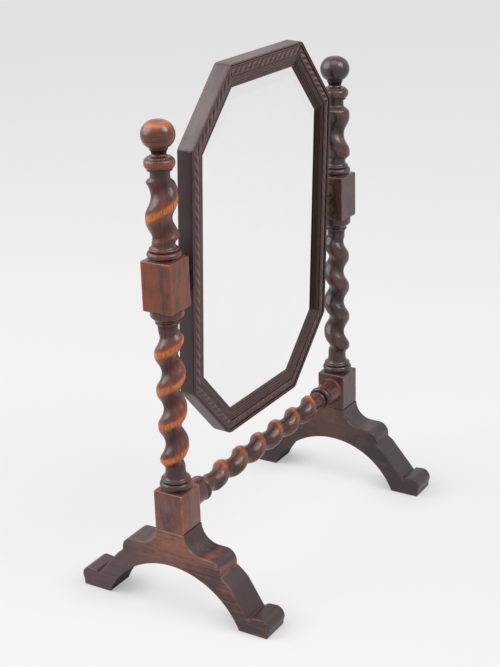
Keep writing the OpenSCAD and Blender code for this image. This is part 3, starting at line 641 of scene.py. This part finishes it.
# each post: name, side, hand, lower cut, upper cut, wear of the crests, finish
posts = (("left_post", -1, 1, (16.8, 9.6, 42.8, 44, 12), (18.2, 10.9, 50.8, 293, 8), 0.95, turned_oak),
         ("right_post", 1, -1, (16.8, 9.6, 41.9, 34, 12), (18.2, 10.9, 47.6, 15.5, 8), 0.4, dull_oak))
for name, side, hand, lower_cut, upper_cut, worn, finish in posts:
    shell = post(hand, lower_cut, upper_cut, worn, finish)
    grain = turned_grain(shell.points, 2, 17) + (side * 400, 0, 0)
    # A grey bloom, partly dust and partly painted sheen: on the left post low down where it is not worn, and
    # lightly all over the right post.
    low_down = np.clip((LOWER_TOP + 20 - shell.points[:, 2]) / 30, 0, 1)
    low_down *= np.clip(1.4 - 1.5 * shell.wear, 0, 1)
    make_piece(name + "_turned", shell.placed(at_side(side)), grain, finish, "turned_oak", "stand", name,
               dust_and_sheen=0.75 * low_down if side < 0 else 0.25)

# %% [markdown]
# ## The finials
# Each post ends in a ball, turned from a separate piece that is glued into the cap with a spigot.
# The ball is a little wider than it is high. The left one is redder than its post, with a worn patch on top
# that is partly wear and partly painted light from above. Both balls darken towards the bottom as painted
# shade.

# %% The finials
BALL_R = 15.7
BALL_WIDER = 2.7


def finial(side, worn):
    """A ball on a waisted neck. The left and right ends of its half outline are moved out to widen it."""
    neck = POST_TOP + 5
    centre = neck + math.sqrt(BALL_R ** 2 - (8 - BALL_WIDER) ** 2)
    low = -math.degrees(math.acos((10 - BALL_WIDER) / BALL_R))
    # The wear rises to a patch near the top, partly wear and partly painted light from above, and falls
    # towards the bottom as painted shade.
    ball = [(BALL_WIDER + BALL_R * math.cos(a), centre + BALL_R * math.sin(a),
             worn * (0.85 + fade(math.degrees(a) - 56, 24)) - 0.12 * (1 - math.sin(a)), 0)
            for a in np.radians(np.linspace(low, 90, 36))]
    points = [(5, POST_TOP - 18, 0, 0), (5, POST_TOP, 0, 0.8), (8.1, POST_TOP, 0, 0.9),
              (8.3, neck - 3.4, 0, 0.9), (9.0, neck - 1.9, 0, 0.9), (9.9, neck - 0.6, 0, 0.9)]
    return lathe(points + ball).placed(at_side(side))


finials = (("left_finial", -1, 0.42, 0, finial_oak), ("right_finial", 1, 0, 0.2, dull_oak))
for name, side, worn, dust_and_sheen, finish in finials:
    shell = finial(side, worn)
    bands = shell.points[:, [0, 2, 1]] * (1, 1, 0.05)
    make_piece(name + "_ball", shell, bands, finish, "finial_oak", "stand", name, dust_and_sheen=dust_and_sheen)

# %% [markdown]
# ## The stretcher
# The same twist runs from post to post, thinner than in the posts, between two bell-shaped ends.
# The tree makes it upright, and it is then laid along X.

# %% The stretcher
END = 175.5
STRETCHER_Z = SEAT + 25.25
STRETCHER_PITCH = 43
Z_TO_X = Matrix(((0, 0, 1), (1, 0, 0), (0, 1, 0))).to_4x4()
bell = [(cove, 25, 17, 14.4), (bead, 8, 11.5, 15.5), (bead, 6, 9, 11.4), (band, 4, 9, 9)]


def stretcher():
    reach = END - rows_height(bell)
    end = lathe([(8, -20, 0, 0), (8, 0, 0, 0)] + list(soften(outline(0, bell), 0.4)))
    start = 327.3 + 360 * reach / STRETCHER_PITCH
    winding = twist(2 * reach, crest=14.6, groove=8.5, necks=(9, 9), pitch=STRETCHER_PITCH, start=start,
                    hand=-1, run_out=12, finish=turned_oak, worn=0.66, worn_below=0, worn_half=4.8)
    lay = Matrix.Translation((0, 0, STRETCHER_Z)) @ Z_TO_X
    flip = Matrix.Scale(-1, 4, (0, 0, 1))
    outwards = Matrix.Translation((0, 0, -END))
    shell = gather([winding.placed(lay @ Matrix.Translation((0, 0, -reach))),
                    end.placed(lay @ outwards), end.placed(lay @ flip @ outwards)])
    upward = (shell.points[:, 2] - STRETCHER_Z) / 14
    shell.wear *= np.clip(0.25 + 0.75 * upward, 0, 1)
    return shell


shell = stretcher()
grain = turned_grain(shell.points - (0, 0, STRETCHER_Z), 0, 14)
make_piece("stretcher_turned", shell, grain, turned_oak, "turned_oak", "stand", "stretcher")

# %% [markdown]
# ## The legs
# Each leg is sawn from a board: an arch below, and above it a hollow, a hump, a step and a sweep to the toe.
# One toe is taller than the other: it points back on the left leg and forward on the right one.
# The outline is drawn as arcs and its corners are eased. Both side faces are filled with small triangles,
# so that each point knows how far it is from the edge, and the edge itself is rounded over.
# Polish is worn off the middle of the board and in the creases of its upper side.
# The right leg is darker.

# %% The outline of a leg
def arc(centre, radius, first, last, count):
    angles = np.radians(np.linspace(first, last, count))
    return [(centre[0] + radius * math.cos(a), centre[1] + radius * math.sin(a)) for a in angles]


def angle_to(centre, point):
    return math.degrees(math.atan2(point[1] - centre[1], point[0] - centre[0]))


SEAT_HALF = 19.8
HOLLOW_R, HUMP_R, SWEEP_R, TOE_R = 23.2, 14, 65.2, 11
SWEEP_FROM = 59
ARCH_H, ARCH_HALF = 58.7, 89.5
ARCH_R = (ARCH_H ** 2 + ARCH_HALF ** 2) / (2 * ARCH_H)


def leg_side(reach, shelf_l, toe_h, notch_back, notch_h, arch_x):
    """One side of the outline in (y, z), from the middle of the seat over the toe to the top of the arch."""
    hollow = (SEAT_HALF + HOLLOW_R, SEAT)
    hump = (hollow[0] + shelf_l, SEAT - HOLLOW_R - HUMP_R)
    step = np.array([hump[0] + HUMP_R, hump[1] - 4.4])
    first = math.radians(SWEEP_FROM)
    sweep = step - SWEEP_R * np.array([math.cos(first), math.sin(first)])
    notch = np.array([reach - notch_back, notch_h])
    away = notch - sweep
    flare = math.degrees(math.atan2(away[1], away[0]) + math.acos(SWEEP_R / np.linalg.norm(away)))
    arch, foot = (arch_x, ARCH_H - ARCH_R), (arch_x + ARCH_HALF, 0)
    points = [(0, SEAT), (SEAT_HALF, SEAT)]
    points += arc(hollow, HOLLOW_R, 180, 270, 24)[1:]
    points += arc(hump, HUMP_R, 90, 0, 20)
    points += arc(sweep, SWEEP_R, SWEEP_FROM, flare + 12, 24)
    points += [tuple(notch), (reach - 21, toe_h - 1.2)]
    points += arc((reach - TOE_R, toe_h - TOE_R), TOE_R, 84, -28, 24)
    points += [(reach - 2.2, 0), foot]
    points += arc(arch, ARCH_R, angle_to(arch, foot), 90, 60)[1:]
    return points


def even(points, step):
    """The same closed line with points about one step apart."""
    points = np.array(points)
    closed = np.vstack([points, points[:1]])
    lengths = np.append(0, np.cumsum(np.linalg.norm(np.diff(closed, axis=0), axis=1)))
    marks = np.linspace(0, lengths[-1], int(lengths[-1] / step), endpoint=False)
    return np.stack([np.interp(marks, lengths, closed[:, k]) for k in (0, 1)], 1)


tall_toe = leg_side(reach=130.5, shelf_l=11.2, toe_h=24.6, notch_back=23, notch_h=19.5, arch_x=1)
low_toe = leg_side(reach=127.6, shelf_l=9, toe_h=22.8, notch_back=26.9, notch_h=17.8, arch_x=-1)
tall_side, low_side = (soften(side, 0.9)[:, :2] for side in (tall_toe, low_toe))
leg_line = even(np.vstack([tall_side, low_side[1:-1][::-1] * (-1, 1)]), 1.1)
print("points round a leg:", len(leg_line))

# %% The legs
def edge_distance(points, line):
    """Distance from each point to the nearest place on a closed line."""
    best = np.full(len(points), 1e9)
    for start, run in zip(line, np.roll(line, -1, axis=0) - line):
        t = np.clip((points - start) @ run / (run @ run), 0, 1)
        best = np.minimum(best, np.linalg.norm(points - start - t[:, None] * run, axis=1))
    return best


def board(line, thickness, radius, step, worn_width):
    """A sawn board: a clockwise or counter-clockwise outline in (x, y), between z = -t/2 and z = t/2."""
    if np.sum(line[:, 0] * np.roll(line[:, 1], -1) - np.roll(line[:, 0], -1) * line[:, 1]) < 0:
        line = line[::-1]
    tangent = np.roll(line, -1, axis=0) - np.roll(line, 1, axis=0)
    out = np.stack([tangent[:, 1], -tangent[:, 0]], 1) / np.linalg.norm(tangent, axis=1)[:, None]
    count = len(line)
    half = [(-radius * (1 - math.sin(a)), thickness / 2 - radius * (1 - math.cos(a)))
            for a in np.radians([0, 22, 45, 68, 90])]
    middle = [(0.0, z) for z in np.linspace(thickness / 2 - radius, -thickness / 2 + radius, 17)[1:-1]]
    profile = half + middle + [(inset, -z) for inset, z in half[::-1]]
    points = [np.column_stack([line + out * inset, np.full(count, z)]) for inset, z in profile]
    faces = [face[::-1] for face in ring_faces(len(profile), count)]
    rim = line - out * radius
    low, high = line.min(0), line.max(0)
    grid = [(x, y) for x in np.arange(low[0], high[0], step) for y in np.arange(low[1], high[1], step * 0.87)]
    grid = np.array([(x + (step / 2 if k % 2 else 0), y) for k, (x, y) in enumerate(grid)])
    seeds = grid[edge_distance(grid, line) > radius + step * 0.6]
    flat = np.vstack([rim, seeds])
    result = delaunay_2d_cdt([Vector(p) for p in flat], [], [list(range(count))], 1, 1e-5)
    face_points = np.array([tuple(p) for p in result[0]])
    used, corner_of = np.unique([tuple(face) for face in result[2]], return_inverse=True)
    face_points = face_points[used]
    triangles = [tuple(face) for face in corner_of.reshape(-1, 3)]
    start = len(profile) * count
    top = np.column_stack([face_points, np.full(len(face_points), thickness / 2)])
    under = np.column_stack([face_points, np.full(len(face_points), -thickness / 2)])
    faces += [tuple(start + k for k in t) for t in triangles]
    faces += [tuple(start + len(face_points) + k for k in t[::-1]) for t in triangles]
    points = np.vstack(points + [top, under])
    flat_distance = edge_distance(face_points, line)
    rim_distance = [np.full(count, min(thickness / 2 - abs(z), 30)) for _, z in profile]
    distance = np.concatenate(rim_distance + [flat_distance, flat_distance])
    return weld(Shell(points, faces, 0.1 + 0.15 * fade(distance, worn_width, 1.2)))


leg_board = board(leg_line, thickness=38, radius=1.3, step=2.6, worn_width=1.3)
# u runs along the board towards its tall toe, z upwards and t through its thickness
u, z, t = leg_board.points.T
out_u = np.abs(u)
from_arch = np.hypot(u - 1, z - ARCH_H + ARCH_R) - ARCH_R
# Painted shade: the inside of the arch is darkened and its sheen taken down, more towards the floor.
under = fade(from_arch, 0.8) * (np.abs(t) < 18.5)
leg_board.grime_and_shade = under * np.clip((70 - z) / 45, 0.3, 1)
middle = fade(u, 42) * np.clip((z - 55) / 25, 0, 1)
outward = np.clip((out_u - 45) / 50, 0, 1)
leg_board.wear += 0.48 * middle - 0.2 * outward
upper = (np.abs(t) < 17.9) & (from_arch > 4)
crease = fade(out_u - np.where(u > 0, 68.0, 65.8), 1.7) * (z > 55)
notch = fade(out_u - np.where(u > 0, 108.2, 101.6), 1.7)
hump, toe_top = fade(out_u - 50, 7), fade(out_u - 114, 6)
leg_board.wear += upper * (0.8 * crease + 1.0 * notch + 0.55 * hump + 0.4 * toe_top - 0.5)
for name, side, finish in (("left_leg", -1, leg_oak), ("right_leg", 1, dull_leg_oak)):
    turn = Matrix.Rotation(math.pi if side > 0 else 0, 4, "Z")
    shell = leg_board.placed(at_side(side) @ turn @ Z_TO_X)
    grain = shell.points[:, [1, 2, 0]] + (side * 300, 0, 0)
    # A grey bloom, partly dust and partly painted sheen, rising towards the back on the left leg and light
    # all over the right one.
    backward = (shell.points[:, 1] - 5) / 70
    make_piece(name + "_board", shell, grain, finish, "leg_oak", "stand", name,
               dust_and_sheen=np.clip(backward, 0.12, 0.75) if side < 0 else 0.15)

# %% [markdown]
# ## The frame of the mirror
# Eight lengths of the same moulding are mitred into an octagon. From the outside in it has a plain edge,
# a fine bead, a carved band of slanting leaf-like lobes, three reeds, and a hollow slope to the glass
# with three fine ridges.
# The section is swept along each rail between its two mitre planes. The lobes repeat along the rail,
# so a Geometry Nodes tree carves them: it lowers the band between one lobe and the next.
# The outer corners of the octagon are rounded by wear, most of all at its foot.

# %% The octagon
half_w, half_h, cut_w, cut_h = 155.0, 221.0, 75.0, 79.8
FRAME_T, RAIL_W, REBATE_W, REBATE_DEEP = 20.0, 28.0, 7.0, 13.0
PIVOT_Z, PIVOT_BACK, TILT = 395.5, 4, 2.4
quarter = np.array([(half_w, half_h - cut_h), (half_w - cut_w, half_h)])
corners = np.vstack([quarter[::-1] * (1, -1), quarter, quarter[::-1] * (-1, 1), quarter * (-1, -1)])
steps = np.roll(corners, -1, axis=0) - corners
rail_lengths = np.linalg.norm(steps, axis=1)
along = steps / rail_lengths[:, None]
inward = np.stack([-along[:, 1], along[:, 0]], 1)
before = np.roll(inward, 1, axis=0)
bisector = (before + inward) / (1 + np.sum(before * inward, axis=1))[:, None]
upright = (Matrix.Translation((0, 0, PIVOT_Z)) @ Matrix.Rotation(math.radians(TILT), 4, "X")
           @ Matrix.Translation((0, 0, -PIVOT_BACK)) @ Matrix.Rotation(math.radians(90), 4, "X")
           @ Matrix.Translation((0, 0, -FRAME_T / 2)))
print("rail lengths:", rail_lengths.round(1))

# %% The section of a rail
def half_round(low, high, z, rise, count, wear):
    """Points over a bead from low to high, whose sides stand at height z."""
    middle, half = (low + high) / 2, (high - low) / 2
    return [(middle + half * math.cos(a), z + rise * math.sin(a), wear * math.sin(a) ** 2,
             0.9 * (1 - math.sin(a))) for a in np.radians(np.linspace(0, 180, count))]


CARVED = 5.0
CARVED_W = 9.2
LIP = 14.2
rebate = RAIL_W - REBATE_W
section = [(0.5, 0, 0.3, 0), (7, 0, 0, 0), (14, 0, 0, 0), (rebate - 0.5, 0, 0.2, 0), (rebate, 0.5, 0.3, 0),
           (rebate, REBATE_DEEP, 0, 0.6), (RAIL_W, REBATE_DEEP, 0, 0.6), (RAIL_W, LIP, 0.5, 0)]
# The slope to the glass is darkened between its ridges as painted shade, which also takes its sheen down.
for t in np.linspace(0, 1, 37)[1:]:
    ridge = 0.5 - 0.5 * math.cos(6 * math.pi * t)
    section.append((RAIL_W - 7.5 * t, LIP + 2.05 * t - 0.6 * math.sin(math.pi * t) + 0.3 * ridge,
                    0.5 * ridge, 0.85 * (1 - ridge)))
for k in (2, 1, 0):
    section += half_round(14.8 + 1.9 * k, 14.8 + 1.9 * (k + 1), 16.85 - 0.4 * k, 0.95, 9, 0.3)
section += [(14.7, 16.6, 0, 1), (14.3, 16.6, 0, 1)]
for share in np.linspace(1, 0, 30):
    section.append((CARVED + CARVED_W * share, 18.4 + 1.2 * (1 - (2 * share - 1) ** 2), 0.3, 0))
section += [(4.9, 18.2, 0, 1), (4.5, 18.2, 0, 1)] + half_round(2.6, 4.4, 19.1, 0.9, 9, 0.5)
section += [(2.5, 18.6, 0, 0.8), (2.1, 18.6, 0, 0.8), (2.0, 19.7, 0.2, 0.2), (1.8, 19.9, 0.2, 0),
            (1.2, 19.95, 0.2, 0), (0.7, 19.7, 0.25, 0), (0.25, 19.2, 0.3, 0), (0.05, 18.5, 0.25, 0),
            (0, 17.5, 0.0, 0), (0, 15, -0.1, 0), (0, 8, -0.1, 0), (0, 2, -0.1, 0), (0, 0.5, 0.1, 0)]
section = np.array(section)
print("points in the section of a rail:", len(section))

# %% The tree that carves the lobes
lobe_tree, size = new_tree("Carved lobes", ["Spacing", "Slant", "Depth"])
band_x, band_y, on_band = (
    Wire(node(lobe_tree, "GeometryNodeInputNamedAttribute", Name=label).outputs[0])
    for label in ("along", "across", "band"))
bent = band_y * 0.45 + (1 - (1 - band_y) ** 2.0) * 0.55
phase = (band_x - bent * size["Slant"]) / size["Spacing"]
lobe = ((phase * (2 * math.pi)).math("COSINE") * 0.5 + 0.5) ** 0.8
fade_out = (band_y * math.pi).math("SINE").math("MAXIMUM", 0.0) ** 0.6
hollow = (1 - lobe) * fade_out * on_band
drop = node(lobe_tree, "ShaderNodeCombineXYZ", Z=hollow * size["Depth"] * -1.0)
carved = node(lobe_tree, "GeometryNodeSetPosition", Geometry=size["Mesh"], Offset=drop.outputs[0])
mesh = note(carved.outputs[0], "hollow", hollow)
mesh = note(mesh, "lobe", lobe * fade_out * on_band)
close_tree(lobe_tree, mesh, size["Material"])


# %% The rails
# each rail: name, radius of the worn corner at its start, crispness of its lobes, wear and a grey bloom
# (partly dust, partly painted sheen) on its outer side, painted shade on its slope to the glass, and
# painted shade from the inner part of its carved band to the glass
rails = (("lower_right", 10, 0.6, 0, 0, 0, 0),
         ("right", 10, 0.5, 0, 0, 0.35, 0.35),
         ("upper_right", 10, 1.0, 0, 0, 0.35, 0),
         ("top", 10, 1.0, 0, 0.65, 0, 0),
         ("upper_left", 8, 1.0, 0, 0.65, 0, 0),
         ("left", 6, 0.8, -0.25, 0, 0, 0),
         ("lower_left", 14, 0.6, 0.7, 0.4, 0, 0),
         ("bottom", 22, 0.6, 0, 0, 0, 0))
COLUMN_STEP = 0.75


def corner_inset(away, slope, radius):
    """How far a rounded corner lies inside the sharp one, at some distance along the rail from it."""
    short = np.clip(radius * slope - away, 0, radius)
    return radius - np.sqrt(radius ** 2 - short ** 2)


def rail_grid(index):
    """Distance along the rail and in from its outer side, for each column and point of the section."""
    length, after = rail_lengths[index], (index + 1) % 8
    slope, end_slope = bisector[index] @ along[index], -bisector[after] @ along[index]
    share = np.linspace(0, 1, int(length / COLUMN_STEP) + 1)[:, None]
    sharp = section[:, 0]

    def spread(inset):
        return inset * slope + share * (length - inset * (slope + end_slope))

    inset = sharp + 0 * share
    for _ in range(4):
        x = spread(inset)
        rounding = corner_inset(x, slope, rails[index][1])
        rounding += corner_inset(length - x, end_slope, rails[after][1])
        inset = sharp + rounding * np.clip(1 - sharp / 2.5, 0, 1)
    return spread(inset), inset


def rail(index):
    """One rail drawn flat, with its lobes carved, then stood up in the frame."""
    crisp, side_wear, side_dust_and_sheen, slope_painted_shade, inner_painted_shade = rails[index][2:]
    s, z, own_wear, own_grime_and_shade = section.T
    x, inset = rail_grid(index)
    count, rows = x.shape
    flat = corners[index] + x[..., None] * along[index] + inset[..., None] * inward[index]
    points = np.concatenate([flat, np.broadcast_to(z[None, :, None], x.shape + (1,))], axis=2).reshape(-1, 3)
    end = tessellate_polygon([[Vector((a, b, 0)) for a, b in section[:, :2]]])
    faces = ring_faces(count, rows) + [tuple(t) for t in end]
    faces += [tuple((count - 1) * rows + k for k in t[::-1]) for t in end]
    mesh = bpy.data.meshes.new("rail")
    mesh.from_pydata(points.tolist(), [], faces)
    across = (s - CARVED) / CARVED_W
    store(mesh, "along", (x - rail_lengths[index] / 2).ravel())
    store(mesh, "across", np.tile(across, count))
    store(mesh, "band", np.tile((across > -0.001) & (across < 1.001) & (z > 18), count))
    carved_mesh = grow(lobe_tree, {"Spacing": 10.8, "Slant": 12.0, "Depth": 1.3 * crisp}, frame_oak, mesh)
    hollow, lobe = read(carved_mesh, "hollow"), read(carved_mesh, "lobe")
    outside = np.tile(s < 0.1, count)
    wear = np.tile(own_wear, count) + crisp * (0.45 * lobe - 0.3 * hollow) + side_wear * outside
    # Painted shade on the slope to the glass, and from the inner part of the carved band to the glass, on the
    # rails listed with it.
    own_grime_and_shade = own_grime_and_shade + slope_painted_shade * (s > 20.5) + inner_painted_shade * (s > 12)
    grime_and_shade = np.tile(own_grime_and_shade, count) + crisp * 0.7 * hollow
    grain = np.stack([x, np.broadcast_to(s, x.shape), np.broadcast_to(z, x.shape)], 2).reshape(-1, 3)
    shell = Shell(places(carved_mesh), faces, wear, grime_and_shade).placed(upright)
    # The outer side's grey bloom is partly dust and partly painted sheen.
    return shell, grain + (index * 500, 0, 0), side_dust_and_sheen * outside


for index, row in enumerate(rails):
    shell, grain, dust_and_sheen = rail(index)
    node_name = "frame_" + row[0] + "_rail"
    make_piece(node_name + "_carved", shell, grain, frame_oak, "frame_oak", "mirror", node_name, dust_and_sheen=dust_and_sheen)

# %% [markdown]
# ## The mirror glass
# The glass is a bevelled octagon with silver on its back. Seen from the front, the silver is a clean metal
# behind a thin clear layer, so the finish is a very smooth pale metal with a faint breath of unevenness.
# The bevel is a wide flat slope, which reflects another part of the room and so shows another tone.

# %% The glass
def glass_finish():
    finish, tree, shader = new_finish("Silvered glass")
    breath = noise(object_place(tree), (30, 30, 30), detail=2)
    fill(shader, Base_Color=blend(breath, (0.95, 0.96, 0.955), (0.985, 0.99, 0.99)), Metallic=1,
         Roughness=breath * 0.02 + 0.012)
    return finish


def stack_octagons(rings):
    """A closed stack of octagons, given as (inset, height) from the back to the front."""
    points = np.vstack([np.column_stack([corners + inset * bisector, np.full(8, z)]) for inset, z in rings])
    last = len(rings) * 8
    faces = ring_faces(len(rings), 8) + [tuple(range(7, -1, -1)), tuple(range(last - 8, last))]
    return Shell(points, faces)


GLASS_IN = RAIL_W - REBATE_W + 2
BEVEL_SEEN, BEVEL_DROP, GLASS_T = 12.5, 1.2, 4
BEVEL = RAIL_W - GLASS_IN + BEVEL_SEEN
glass_front = REBATE_DEEP - 0.05 + BEVEL_DROP * BEVEL_SEEN / BEVEL
rings = [(GLASS_IN + 0.2, glass_front - GLASS_T), (GLASS_IN, glass_front - GLASS_T + 0.2),
         (GLASS_IN, glass_front - BEVEL_DROP - 0.1), (GLASS_IN + 0.15, glass_front - BEVEL_DROP),
         (GLASS_IN + BEVEL - 0.1, glass_front - 0.01), (GLASS_IN + BEVEL + 0.1, glass_front)]
shell = stack_octagons(rings).placed(upright)
make_piece("mirror_glass_bevelled", shell, shell.points, glass_finish(), "silvered_glass", "mirror",
           "mirror_glass", sharp=1)

# %% [markdown]
# ## Small parts at the back and the pivots
# The backboard, sprigs, keys, packing and brass keep their CAD shape, and only get their own finishes.

# %% Finishes of the small parts
def plain_wood(name, pale, deep, along_axis):
    finish, tree, shader = new_finish(name)
    place = object_place(tree)
    scale = [260.0, 260.0, 260.0]
    scale[along_axis] = 12.0
    fibres = noise(place, tuple(scale), detail=4, roughness=0.6)
    patches = noise(place, (14, 14, 14), detail=2)
    share = between(fibres * 0.7 + patches * 0.6, 0.4, 0.9)
    fill(shader, Base_Color=blend(share, deep, pale), Roughness=0.6 + (fibres - 0.5) * 0.3)
    bump(shader, fibres, 0.0002)
    return finish


def metal(name, bright, dull, roughness):
    finish, tree, shader = new_finish(name)
    place = object_place(tree)
    tarnish = noise(place, (180, 180, 180), detail=3, roughness=0.6)
    scratches = noise(place, (300, 300, 2500), detail=1)
    fill(shader, Base_Color=blend(between(tarnish, 0.35, 0.7), bright, dull), Metallic=1,
         Roughness=roughness + (tarnish - 0.5) * 0.3 + scratches * 0.08)
    bump(shader, scratches, 0.00003)
    return finish


brass = metal("Aged brass", (0.17, 0.12, 0.075), (0.070, 0.050, 0.035), 0.42)
dark_brass = metal("Blackened brass", (0.08, 0.055, 0.035), (0.035, 0.024, 0.018), 0.5)
screw_brass = metal("Screw brass", (0.22, 0.155, 0.09), (0.08, 0.055, 0.035), 0.4)
steel = metal("Sprig steel", (0.20, 0.19, 0.18), (0.07, 0.05, 0.04), 0.5)
pine = plain_wood("Packing pine", (0.42, 0.26, 0.12), (0.28, 0.15, 0.06), 0)
board_wood = plain_wood("Backboard wood", (0.17, 0.085, 0.04), (0.08, 0.036, 0.018), 2)
key_oak = plain_wood("Key oak", (0.20, 0.11, 0.055), (0.11, 0.055, 0.03), 1)
leather = plain_wood("Washer leather", (0.09, 0.05, 0.03), (0.04, 0.022, 0.014), 1)
finishes = {"left_socket_plate": dark_brass, "right_socket_plate": brass, "left_pin_plate": dark_brass,
            "right_pin_plate": brass, "socket_plate_screws": screw_brass, "pin_plate_screws": screw_brass,
            "backboard_sprigs": steel, "glass_packing_blocks": pine, "backboard": board_wood,
            "corner_keys": key_oak, "left_friction_washer": leather, "right_friction_washer": leather}
for name, finish in finishes.items():
    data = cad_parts[name].data
    data.materials.clear()
    data.materials.append(finish)
print("CAD nodes with their own finish:", len(finishes))

# %% [markdown]
# ## The floor and the light
# The photograph was taken on a pale sweep in soft light from all sides, so shadows are faint.
# A wide pale floor and a pale world give that. The background is seen by the camera, by shiny surfaces
# and through glass at its own tone, while a weaker world and three wide lamps light the object.
# Most of the floor's tone is a glow that takes no shadow. There is less of it close to the feet,
# where the shadows are deep.

# %% The floor
def seen_directly(tree):
    """1 for rays that show the background: from the camera, off gloss and through glass."""
    path = tree.nodes.new("ShaderNodeLightPath")
    camera_ray, gloss, through = (Wire(path.outputs[name]) for name in
                                  ("Is Camera Ray", "Is Glossy Ray", "Is Transmission Ray"))
    return camera_ray.math("MAXIMUM", gloss).math("MAXIMUM", through)


def mix_shaders(share, first, second):
    """The first shader, with the second one over it as far as the share says."""
    mixed = node(share.tree, "ShaderNodeMixShader", Fac=share)
    plug(first.outputs[0], mixed.inputs[1])
    plug(second.outputs[0], mixed.inputs[2])
    return mixed.outputs[0]


FOOT_Y = 0.108
SWEEP = 30
floor_mesh = bpy.data.meshes.new("floor")
floor_mesh.from_pydata([(-SWEEP, -SWEEP, 0), (SWEEP, -SWEEP, 0), (SWEEP, SWEEP, 0), (-SWEEP, SWEEP, 0)], [],
                       [(0, 1, 2, 3)])
floor = in_scene("floor", floor_mesh)
paper, tree, shader = new_finish("Pale paper")
fill(shader, Base_Color=(0.64, 0.635, 0.63, 1), Roughness=0.9, Specular_IOR_Level=0.1)
glow = node(tree, "ShaderNodeEmission", Color=(0.93, 0.92, 0.925, 1), Strength=1.0)
spot = node(tree, "ShaderNodeSeparateXYZ", Vector=object_place(tree))
foot_x = Wire(spot.outputs["X"]).math("ABSOLUTE") - POST_X * MM
foot_y = Wire(spot.outputs["Y"]).math("ABSOLUTE") - FOOT_Y
from_foot = (foot_x * foot_x + foot_y * foot_y).math("SQRT")
glow_share = between(from_foot, 0.01, 0.075) * 0.36 + 0.38
seen_floor = mix_shaders(seen_directly(tree) * glow_share, shader, glow)
fill(tree.nodes["Material Output"], Surface=seen_floor)
floor_mesh.materials.append(paper)
print("floor:", paper.name)

# %% The world and the lamps
world = bpy.data.worlds.new("pale room")
bpy.context.scene.world = world
world.use_nodes = True
tree = world.node_tree
tree.nodes.clear()
lighting = node(tree, "ShaderNodeBackground", Color=(0.98, 0.95, 1.0, 1), Strength=0.38)
backdrop = node(tree, "ShaderNodeBackground", Color=(0.90, 0.885, 0.90, 1), Strength=1.0)
node(tree, "ShaderNodeOutputWorld", Surface=mix_shaders(seen_directly(tree), lighting, backdrop))
LAMP_AWAY = 2.2


def lamp(name, azimuth, elevation, width, watts):
    """A round lamp that looks at the object."""
    light = in_scene(name, bpy.data.lights.new(name, "AREA"))
    light.data.shape = "DISK"
    light.data.size = width
    light.data.energy = watts
    light.visible_camera = False
    way = direction(azimuth, elevation)
    light.location = way * LAMP_AWAY + Vector((0, 0, 0.3))
    light.rotation_euler = way.to_track_quat("Z", "Y").to_euler()
    print(name, "at", light.location)


lamp("window lamp", -148, 36, 2.3, 48)
lamp("front lamp", 8, 48, 1.2, 30)
lamp("ceiling lamp", -60, 78, 1.6, 14)
bpy.context.scene.view_settings.view_transform = "Standard"
